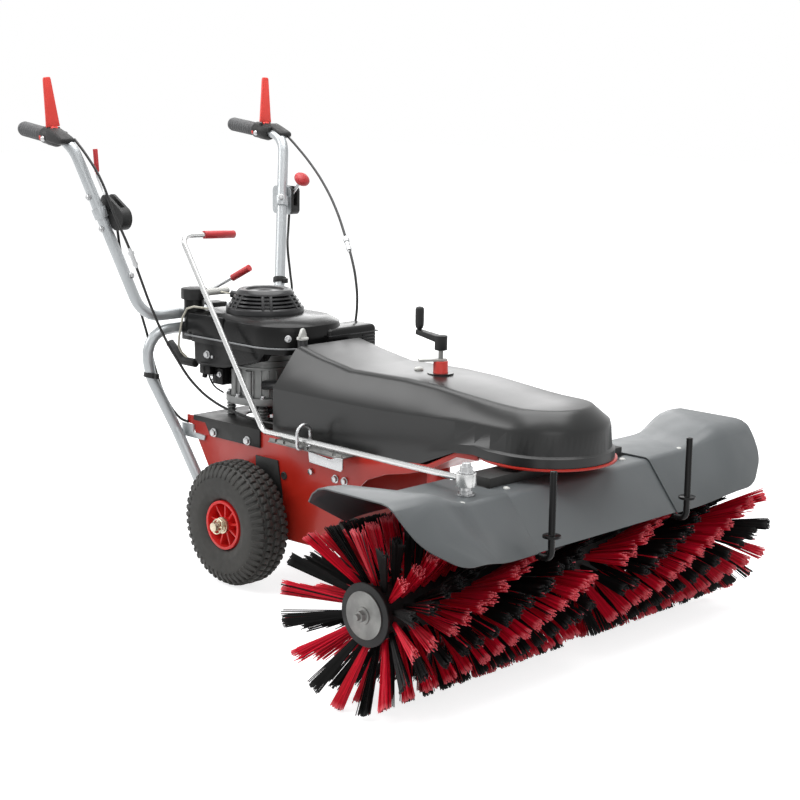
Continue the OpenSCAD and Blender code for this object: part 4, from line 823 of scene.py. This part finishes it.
# Engine: ledge, panels and lower housing of the shroud, ribs and bolts of the block
engine = {"middle": (0, 100), "ledge": 518.5, "ledgeRadius": 97, "corner": (17, 10), "ledgeRear": 245,
          "ledgeThick": 2, "ledgeStep": 7.5, "ledgeTurns": 25,
          "boxes": [("shroud_panel", (-114.2, 113, 526), (-108, 236, 570), 2.0, 3),
                    ("drain_block", (-105, 169, 433), (-86, 206, 456), 3),
                    ("ignition_box", (-92, 140, 412), (-52, 177, 450), 3)],
          "housing": [(-23, 514), (0, 485), (60, 468), (117, 457), (197, 452), (218, 457), (222, 470), (222, 514)],
          "housingX": (-107, -78), "housingEdge": 7, "knob": ((-96, 196, 434), (-96, 198, 424)), "knobRadius": 6,
          "stopWire": [(-92, 190, 436), (-91, 182, 418), (-90, 168, 405), (-84, 146, 394)], "wire": 2,
          "ribs": 26, "rib": ((69, 98.4, 390), (76.5, 101.6, 452)), "ringFeet": (456, 470, 484),
          "ring": [(70, 0), (76, 0.6), (76, 3), (70, 3.6)], "spacerRing": 76, "spacerFoot": 343,
          "spacerTurns": (45, 135, 225, 315), "washers": 4, "washerPitch": 7, "flangeBolts": 8,
          "washer": [(8, 0), (11, 0), (11, 3.4), (8, 3.4)], "dot": ((-107, 156, 477), (-110, 156, 477)),
          "dotRadius": 3.4, "flangeBolt": ((80, 100, 391), upAxis, 5.5, 7, 7.5),
          "bolts": [("housing_bolt", (-107, 175, 480), (-1, 0, 0), 7, 6, 9),
                    ("oil_bolt", (-77, -63, 541), (-0.64, -0.77, 0), 5.5, 7, 7.5),
                    ("ignition_bolt", (-92, 150, 436), (-1, 0, 0), 5, 5, 6.5)]}


def makeShroud():
    (cx, cy), r, z, rear = (engine[k] for k in ("corner", "ledgeRadius", "ledge", "ledgeRear"))
    steps = range(engine["ledgeTurns"])  # round the nose, right side to left
    turns = [math.radians(180 + engine["ledgeStep"] * k) for k in steps]
    nose = [at(math.copysign(cx, math.cos(t)) + r * math.cos(t), cy + r * math.sin(t), z) for t in turns]
    rim = [at(-cx - r, rear, z), *nose, at(cx + r, rear, z)]
    # the ledge's black plastic is painted pale grey as a painted highlight
    settle(newTube("shroud_ledge", rim, engine["ledgeThick"], False), "trimGrey", "chassis", 60)
    black = [newBox(*box) for box in engine["boxes"]]
    black.append(newPlate("lower_housing", engine["housing"], *engine["housingX"], engine["housingEdge"], 4))
    black.append(newRod("drain_knob", *(at(*p) for p in engine["knob"]), engine["knobRadius"], 16))
    black.append(newTube("stop_wire", [at(*p) for p in engine["stopWire"]], engine["wire"]))
    finished("shroud_mouldings", black, "shroudBlack", "chassis")


def makeBlock():
    middle = at(*engine["middle"], 0)
    alloy = [repeatRound(newBox("crankcase_rib", *engine["rib"]), engine["ribs"], middle, upAxis)]
    alloy += [newTurned("crankcase_ring", engine["ring"], at(*engine["middle"], h), upAxis, 64)
              for h in engine["ringFeet"]]
    stack = [(r, h + engine["washerPitch"] * k) for k in range(engine["washers"]) for r, h in engine["washer"]]
    for turn in engine["spacerTurns"]:  # stacked washers on the engine's standing posts
        arm = turned(turn, "Z") @ local(engine["spacerRing"], 0, engine["spacerFoot"])
        alloy.append(newTurned("standing_spacer", stack, middle + arm, upAxis, 24))
    finished("crankcase_ribs", alloy, "castAlloy", "chassis")
    flange = hexBolt("flange_bolt", *engine["flangeBolt"])
    bolts = [repeatRound(flange, engine["flangeBolts"], middle, upAxis), *(hexBolt(*bolt) for bolt in engine["bolts"]),
             newRod("housing_dot", *(at(*p) for p in engine["dot"]), engine["dotRadius"], 16)]
    finished("engine_bolts", bolts, "zinc", "chassis")


# Air box: lid seam and the slats of its end
airBox = {"seam": ((16.6, -95.4, 538), (166.4, -18.6, 541)), "slats": 4, "pitch": 7,
          "slat": ((118, -96, 510), (157, -91, 513))}


def makeAirBox():
    parts = [newBox("air_seam", *airBox["seam"], 1.2)]
    for i in range(airBox["slats"]):
        low, high = (shifted(corner, (0, 0, i * airBox["pitch"])) for corner in airBox["slat"])
        parts.append(newBox("air_slat", low, high, 0.8))
    finished("air_box_trim", parts, "blackPlastic", "chassis")


# Oil cap: silver wing on a round foot
oilCap = {"place": (-70, -101.5, 543), "turn": 20, "halfThick": 3.4,
          "foot": [(0, -15), (6.5, -15), (6.5, 0.5), (12.5, 0.5), (13, 1.5), (13, 4), (11.5, 6), (0, 6)],
          "wing": [(-15, 4), (15, 4), (14, 12), (6, 23), (2, 25), (-2, 25), (-6, 23), (-14, 12)]}


def makeOilCap():
    (x, y, z), half = oilCap["place"], oilCap["halfThick"]
    foot = newTurned("oil_foot", oilCap["foot"], at(x, y, z), upAxis, 32)
    wing = newPlate("oil_wing", [(y + a, z + b) for a, b in oilCap["wing"]], x - half, x + half, 2.2, 3)
    swung(wing, at(x, y, z), "Z", oilCap["turn"] - 90)
    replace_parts(finished("oil_wing_cap", [foot, wing], "gripPale", "oil_lid"), "oil_cap")


makeRecoil()
makeShroud()
makeBlock()
makeAirBox()
makeOilCap()
print("engine dressed")

# Rod guide: comb under the steering rod, latch plate below it and a closed eye round the rod
rodGuide = {"plate": ((-171, -330, 334), (-120.2, -104, 337)), "toothX": (-171, -168), "toothZ": (335, 344),
            "teeth": [(-126, -108), (-152, -133), (-226, -159), (-303, -232), (-330, -313)], "latchX": (-174, -171),
            "latch": [(-233, 336), (-236, 313), (-330, 309), (-336, 316), (-336, 337), (-318, 337), (-300, 330)],
            "eye": (-168.5, -214, 369.5), "half": 18.5, "wire": 4, "eyeStep": 12, "eyeTurns": 16,
            "eyeFoot": [(-18.5, -24.5), (-17, -29), (-12.5, -31), (12.5, -31), (17, -29), (18.5, -24.5)]}


def makeRodGuide():
    (inner, outer), (foot, top) = rodGuide["toothX"], rodGuide["toothZ"]
    comb = [newBox("guide_plate", *rodGuide["plate"], 0.6)]
    comb += [newBox("guide_tooth", (inner, near, foot), (outer, far, top), 0.6) for near, far in rodGuide["teeth"]]
    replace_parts(finished("guide_comb", comb, "dullZinc", "chassis", 35), "rod_guide")
    turns = [math.radians(rodGuide["eyeStep"] * k) for k in range(rodGuide["eyeTurns"])]
    bow = [(rodGuide["half"] * math.cos(t), rodGuide["half"] * math.sin(t)) for t in turns]
    ring = [at(*shifted(rodGuide["eye"], (a, 0, b))) for a, b in bow + rodGuide["eyeFoot"]]
    bright = [newTube("guide_eye", [*ring, ring[0]], rodGuide["wire"], False, 4),
              newPlate("guide_latch", rodGuide["latch"], *rodGuide["latchX"])]
    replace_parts(finished("guide_eye_latch", bright, "zinc", "chassis", 60), "rod_guide")


# Height crank: necked grip, hub with a ring, domed bolt on the cover
crank = {"place": (0, -442), "gripFoot": (0, -381, 591.5), "hubFoot": (0, -442, 557), "bolt": (0, -381, 507.2),
         "grip": [(5.2, 0), (5.6, 2.4), (7.4, 4.4), (8.6, 9), (9, 15), (9, 41), (8.6, 44), (7, 46.4), (4, 47.6),
                  (0, 48)],
         "hub": [(13.1, 27), (13.1, 28.4), (11.4, 29.4), (10.2, 29.4), (9.4, 28.6), (0, 28.6)],
         "skirt": [(13.1, 8), (11.6, 6.6), (11.6, -0.5), (5, -0.5)],
         "dome": [(9.6, 0), (9.6, 2.4), (8, 4.6), (6.2, 5.6), (3, 6.4), (0, 6.6)]}


def makeCrank():
    knob = newTurned("crank_knob", crank["grip"], at(*crank["gripFoot"]), upAxis, 32)
    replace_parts(settle(knob, "matBlack", bodyOf["crank_grip"], 40), "crank_grip")
    rings = [newTurned("crank_ring", crank[k], at(*crank["hubFoot"]), upAxis, 40) for k in ("hub", "skirt")]
    finished("crank_hub_rings", rings, "matBlack", bodyOf["height_crank"])
    dome = newTurned("cover_dome", crank["dome"], at(*crank["bolt"]), upAxis, 28)
    settle(dome, "gripPale", "chassis", 60)


# Hood: rivets along the panel joints
rivet = {"profile": [(0, 2.6), (2.5, 2.4), (5, 1.5), (6.5, 0), (6.5, -2)],
         "places": [((249, -868, 287), (0, -0.78, 0.62)), ((176, -778, 359), (0, -0.1, 1)),
                    ((330, -806, 362), (0, -0.1, 1))]}


def makeRivets():
    heads = [newTurned("hood_rivet", rivet["profile"], at(side * x, y, z), axis, 20)
             for side in (-1, 1) for (x, y, z), axis in rivet["places"]]
    finished("hood_rivets", heads, "gripPale", "brush_head", 60)


# Frame: rear lugs and the plug of the side plates
frameTrim = {"lug": ((116.5, 213, 317), (120.5, 232, 336.5)), "plugFoot": (120, -99, 251),
             "plug": [(0, 2.5), (5, 2.5), (7, 3.2), (9, 1.6), (9, -1)]}


def makeFrameTrim():
    lug = newBox("rear_lug_left", *frameTrim["lug"])
    finished("rear_lugs", [lug, mirrored(lug, "rear_lug_right")], "redPaint", "chassis", 35)
    plug = newTurned("plate_plug_left", frameTrim["plug"], at(*frameTrim["plugFoot"]), wheelAxis, 28)
    finished("plate_plugs", [plug, mirrored(plug, "plate_plug_right")], "rubber", "chassis")


makeRodGuide()
makeCrank()
makeRivets()
makeFrameTrim()
print("hood and frame trimmed")

# Grips: ribbed sleeves with domed ends
grip = {"end": (310, 579, 973), "bend": (314, 388, 951), "cap": 4, "long": 92, "radius": 15.5, "bore": 12.7,
        "dome": [(0, 0), (8, 0.3), (12, 1.4), (14.4, 3.4), (15.5, 6)], "ribs": 9, "pitch": 8.6, "firstRib": 9,
        "rim": (1.5, 2), "rib": [(15.5, 0), (16.9, 1.4), (16.9, 4.2), (15.5, 5.6)]}
gripEnd = at(*grip["end"])
gripWay = (at(*grip["bend"]) - gripEnd).normalized()


def makeGrips():
    r, top = grip["radius"], grip["cap"] + grip["long"]
    feet = [grip["firstRib"] + k * grip["pitch"] for k in range(grip["ribs"])]
    profile = grip["dome"] + [(wide, foot + h) for foot in feet for wide, h in grip["rib"]]
    inward, down = grip["rim"]
    profile += [(r, top - down), (r - inward, top), (grip["bore"], top)]
    left = newTurned("grip_sleeve_left", profile, gripEnd - gripWay * grip["cap"] * mm, gripWay, 40)
    sleeves = joinAll("grip_sleeves", [left, mirrored(left, "grip_sleeve_right")])
    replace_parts(settle(sleeves, "gripGrey", "handle", 50), "grips")


# Tube fittings: bolts on the legs, clips that hold the cables
legBolt = {"size": (6, 6, 8),
           "places": [((-292.5, 355, 830), (-1, 0.15, 0.2)), ((-272.5, 336, 760), (-1, 0.15, 0.2)),
                      ((-224.5, 296.6, 656), (0.35, -0.9, 0.2)), ((261, 337.8, 805), (-0.6, -0.8, 0.1))]}
tubeClip = {"ring": [(12.6, -6), (15.7, -6), (16.3, -4), (16.3, 4), (15.7, 6), (12.6, 6)],
            "tail": ((-5, -25.5, -6), (5, -11.5, 6)),
            "places": [((-181.3, 285.8, 426.5), (-0.22, 0.03, -0.97), "chassis"),
                       ((218.7, 295.4, 611), (0.26, 0.26, 0.93), "handle")]}


def makeTubeFittings():
    heads = [hexBolt("leg_bolt", place, axis, *legBolt["size"]) for place, axis in legBolt["places"]]
    finished("leg_bolts", heads, "zinc", "handle")
    for count, (place, axis, body) in enumerate(tubeClip["places"], 1):
        ring = newTurned("tube_clip", tubeClip["ring"], at(*place), axis, 36)
        tail = newBox("clip_tail", *(shifted(place, corner) for corner in tubeClip["tail"]), 2)
        finished("cable_clip_" + str(count), [ring, tail], "matBlack", body)


# Dead-man levers: flared blades, brackets with a ridge to the cable, a bright ball and a red button
lever = {"pivot": (312.6, 455.8, 976.8), "halfThick": 3, "leanBack": -5, "leanOut": 4.5, "hubHalf": 9.7,
         "hubRadius": 5.2, "blade": [(-17, 4), (18.5, 4), (17, 16), (9.6, 108), (8.6, 112), (6.5, 113.8), (-6.5, 113.8),
                                     (-8.6, 112), (-9.6, 108), (-16, 16)]}
bracket = {"sleeve": [(12.8, 0), (18, 0), (19.5, 2), (19.5, 18), (20.5, 22), (20.5, 46), (18.5, 51), (16.5, 54.5),
                      (12.8, 54.5), (12.8, 0)], "sleeveFoot": 93, "housing": ((-17, -34, -20), (17, 16, -5)),
           "ridge": [(448, 950), (448, 975), (440, 979), (420, 971), (398, 962), (388, 957), (388, 947), (404, 943)],
           "ridgeX": [(304, 341), (-339.2, -302.2)], "boss": (10, 16), "bossRadius": 3.9, "postAside": 13,
           "post": ((-2.8, -3.4, -12), (2.8, 3.4, 0)),
           "ballAt": (-19, 13, -22), "ball": [(0, 6.5), (3.4, 5.6), (5.6, 3.4), (6.5, 0), (5.6, -3.4)],
           "buttonAt": (-15, 27, -20), "button": [(0, 5), (4, 4.4), (6, 2), (6, -2)], "buttonAxis": (-0.8, 0.6, 0)}


def makeLevers():
    px, py, pz = lever["pivot"]
    spot, half, hub = at(px, py, pz), lever["halfThick"], lever["hubHalf"]
    blade = newPlate("lever_blade", [(py + a, pz + b) for a, b in lever["blade"]], px - half, px + half, 2.0, 3)
    for axis, degrees in (("Z", -90), ("X", lever["leanBack"]), ("Y", lever["leanOut"])):
        swung(blade, spot, axis, degrees)
    barrel = newRod("lever_hub", at(px - hub, py, pz), at(px + hub, py, pz), lever["hubRadius"], 24)
    left = joinAll("lever_left_blade", [blade, barrel])
    right = mirrored(left, "lever_right_blade")
    for piece, node in ((left, "lever_left"), (right, "lever_right")):
        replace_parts(settle(piece, "leverRed", bodyOf[node], 40), node)


def makeBrackets():
    px, py, pz = pivot = lever["pivot"]
    sleeveFoot = gripEnd + gripWay * bracket["sleeveFoot"] * mm
    parts = [newTurned("bracket_sleeve", bracket["sleeve"], sleeveFoot, gripWay, 40),
             newBox("bracket_housing", *(shifted(pivot, corner) for corner in bracket["housing"]), 5, 3)]
    for hand in (-1, 1):
        start, end = (at(px + hand * reach, py, pz) for reach in bracket["boss"])
        parts.append(newRod("bracket_boss", start, end, bracket["bossRadius"], 20, 0.5))
        foot = (px + hand * bracket["postAside"], py, pz)
        parts.append(newBox("bracket_post", *(shifted(foot, corner) for corner in bracket["post"]), 0.6))
    left = joinAll("lever_bracket_left", parts)
    ridges = [newPlate("cable_ridge", bracket["ridge"], *ends, 4, 3) for ends in bracket["ridgeX"]]
    pair = joinAll("lever_bracket_pair", [left, mirrored(left, "lever_bracket_right"), *ridges])
    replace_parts(settle(pair, "matBlack", "handle", 40), "lever_brackets")
    pivots = [(side * px, py, pz) for side in (-1, 1)]
    balls = [newTurned("bracket_ball", bracket["ball"], at(*shifted(place, bracket["ballAt"])), (-1, 0, 0), 24)
             for place in pivots]
    finished("bracket_balls", balls, "zinc", "handle", 60)
    buttons = [newTurned("bracket_button", bracket["button"], at(*shifted(place, bracket["buttonAt"])),
                         bracket["buttonAxis"], 20) for place in pivots]
    finished("bracket_buttons", buttons, "leverRed", "handle", 60)


makeGrips()
makeTubeFittings()
makeLevers()
makeBrackets()
print("handle dressed")

# Construction pieces with their edges broken: for each finish, the nodes and the width of their edges
skins = {
    "redPaint": {"side_plates": 0.6, "deck_plate": 0.6},
    "blackPaint": {"engine_plate": 1.2, "wheel_plates": 0.6, "handle_clamp": 1.5, "head_beam": 1.0, "caster_fork": 0.8},
    "castAlloy": {"traction_axle": 1.0, "engine_block": 1.2, "brush_gearbox": 1.5},
    "zinc": {"frame_fasteners": 0.5, "steering_stud": 0.6, "drive_shaft": 0.6, "crankshaft": 0.6,
             "traction_pulley": 0.6, "idler_arm": 0.6, "support_column": 0.6},
    "tubeSilver": {"handle_stay": 0.5, "handlebar": 0.4},
    "shroudBlack": {"engine_shroud": 2.0, "guard_posts": 0.8},
    "matBlack": {"brush_cores": 1.0, "fuel_cap": 2.0},
    "rubber": {"drive_belts": 0.5, "support_wheel": 1.5},
    "rimRed": {"rim_right": 1.0, "rim_left": 1.0},
    "yellowZinc": {"half_axle_right": 0.5, "half_axle_left": 0.5},
    "exhaust": {"muffler": 2.0}, "blackPlastic": {"oil_tube": 0.8}, "hoodGrey": {"hood_middle": 0},
    "dullZinc": {"brush_shaft": 0.6}, "gripPale": {"starter_grip": 1.2},
}
for finish, nodes in skins.items():
    for node, edge in nodes.items():
        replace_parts(skinOf(node, finish, edge), node)

# Hood ends: the sheet's corners rounded in its own plane
hoodRim = {"corners": [(533, -845.3, 376.8), (512.1, -882.5, 329.4), (440, -917.1, 285.3)], "width": 26, "near": 7,
           "sheet": 4, "segments": 8}


def roundRim(piece):
    corners = [at(side * x, y, z) for x, y, z in hoodRim["corners"] for side in (-1, 1)]

    def atCorner(edge):
        start, end = (piece.data.vertices[k].co for k in edge.vertices)
        short = (end - start).length < hoodRim["sheet"] * mm
        return short and any(((start + end) / 2 - spot).length < hoodRim["near"] * mm for spot in corners)

    pick(piece, "EDGE", piece.data.edges, atCorner)
    bpy.ops.mesh.bevel(offset=hoodRim["width"] * mm, segments=hoodRim["segments"], affect="EDGES")
    clearBench()


for node in ("hood_right", "hood_left"):
    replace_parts(skinOf(node, "hoodGrey", 0.6, 60, shape=roundRim), node)

# Belt cover: the crank's rubber ring lies low, along the slope of the lid
beltCover = {"rimTop": 430, "smooth": 44, "ringRadius": 27.5, "ringHeight": 6, "ringRise": 2.2, "ringEdge": 1}


def lowerRing(piece):
    middle, bolt = at(*crank["place"], 0), at(*crank["bolt"])
    near = [v.co for v in piece.data.vertices if (v.co.xy - middle.xy).length < beltCover["ringRadius"] * mm]
    top = max(point.z for point in near)
    lid = top - beltCover["ringHeight"] * mm
    slope = (bolt.z - lid) / (bolt.y - middle.y)
    for point in near:
        if point.z > top - beltCover["ringEdge"] * mm:
            point.z = lid + beltCover["ringRise"] * mm + slope * (point.y - middle.y)


cover = skinOf("belt_cover", "coverGrey", 0, beltCover["smooth"], creaseBelow=beltCover["rimTop"], flat=0,
               shape=lowerRing)
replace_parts(cover, "belt_cover")

# Pieces in two or three finishes: each part is told by where its faces lie, in millimetres from the axle
boot = {"line": [(-100, 225, 453), (-100, 270, 453), (-100, 318, 489)], "radius": 11.5}
leg = {"top": (314, 388, 951), "foot": (205, 282, 562), "radius": 16.8}
keeper = {"foot": 534, "turn": 56, "stretch": 1.6, "above": 534.3, "underside": 533.7, "clear": -425}
knob = {"seat": (298.6, 347.8, 802), "axis": (0, -0.675, 0.738), "from": 50.5}
rodSleeve = {"above": 700, "from": -77}


def onBoot(p):  # the spark plug's boot
    line = [Vector(point) for point in boot["line"]]
    for start, end in zip(line, line[1:]):
        share = min(1, max(0, (p - start).dot(end - start) / (end - start).length_squared))
        if (p - start.lerp(end, share)).length < boot["radius"]:
            return True
    return False


def onTube(p):  # close round a leg of the handlebar
    top = Vector(leg["top"])
    way = (Vector(leg["foot"]) - top).normalized()
    arm = Vector((abs(p.x), p.y, p.z)) - top
    return (arm - way * arm.dot(way)).length < leg["radius"]


def onKeeper(p):  # the plate under the crank
    return p.z > keeper["above"] or (p.z > keeper["underside"] and p.y > keeper["clear"])


def onKnob(p):
    return (p - Vector(knob["seat"])).dot(Vector(knob["axis"])) > knob["from"]


def onRodSleeve(p):
    return p.z > rodSleeve["above"] and p.x > rodSleeve["from"]


def above(height):
    return lambda p: p.z > height


def below(height):
    return lambda p: p.z < height


def turnKeeper(piece):  # points to the machine's right rear
    spot = at(*crank["place"], keeper["foot"])
    swung(piece, spot, "Z", keeper["turn"])
    openMesh(piece)
    bpy.ops.transform.resize(value=(1, 1, keeper["stretch"]), center_override=spot)
    clearBench()


splits = {  # each part: tag, finish, edge, faces; the last one takes what is left
    "clamp_lever": [("sleeve", "sleeveRed", 1.2, above(636)), ("cup", "matBlack", 0.8, below(557)),
                    ("shank", "zinc", 0.3, None)],
    "throttle_lever": [("sleeve", "sleeveRed", 1.0, above(876)), ("shank", "zinc", 0.3, None)],
    "control_boxes": [("rings", "tubeSilver", 0.4, onTube), ("cases", "matBlack", 2.0, None)],
    "shift_lever": [("knob", "sleeveRed", 0, onKnob), ("shank", "zinc", 0.3, None)],
    "steering_rod": [("sleeve", "sleeveRed", 1.0, onRodSleeve), ("rod", "rodZinc", 0.4, None)],
    "height_guide": [("keeper", "gripPale", 0.5, onKeeper), ("collar", "leverRed", 0.8, None)],
    "height_crank": [("spindle", "dullZinc", 0, below(556.5)), ("arm", "matBlack", 1.0, None)],
    "spark_lead": [("boot", "rubber", 1.0, onBoot), ("cord", "cordCream", 0, None)],
}
reshaped = {"keeper": turnKeeper}


def dressInParts(node, parts):
    tests = [test for *_, test in parts if test]

    def onNone(p):
        return not any(test(p) for test in tests)

    pieces = [skinOf(node, finish, edge, keep=test or onNone, tag=tag, shape=reshaped.get(tag))
              for tag, finish, edge, test in parts]
    for piece in pieces:
        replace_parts(piece, node)


for node, parts in splits.items():
    dressInParts(node, parts)
print("construction pieces dressed")
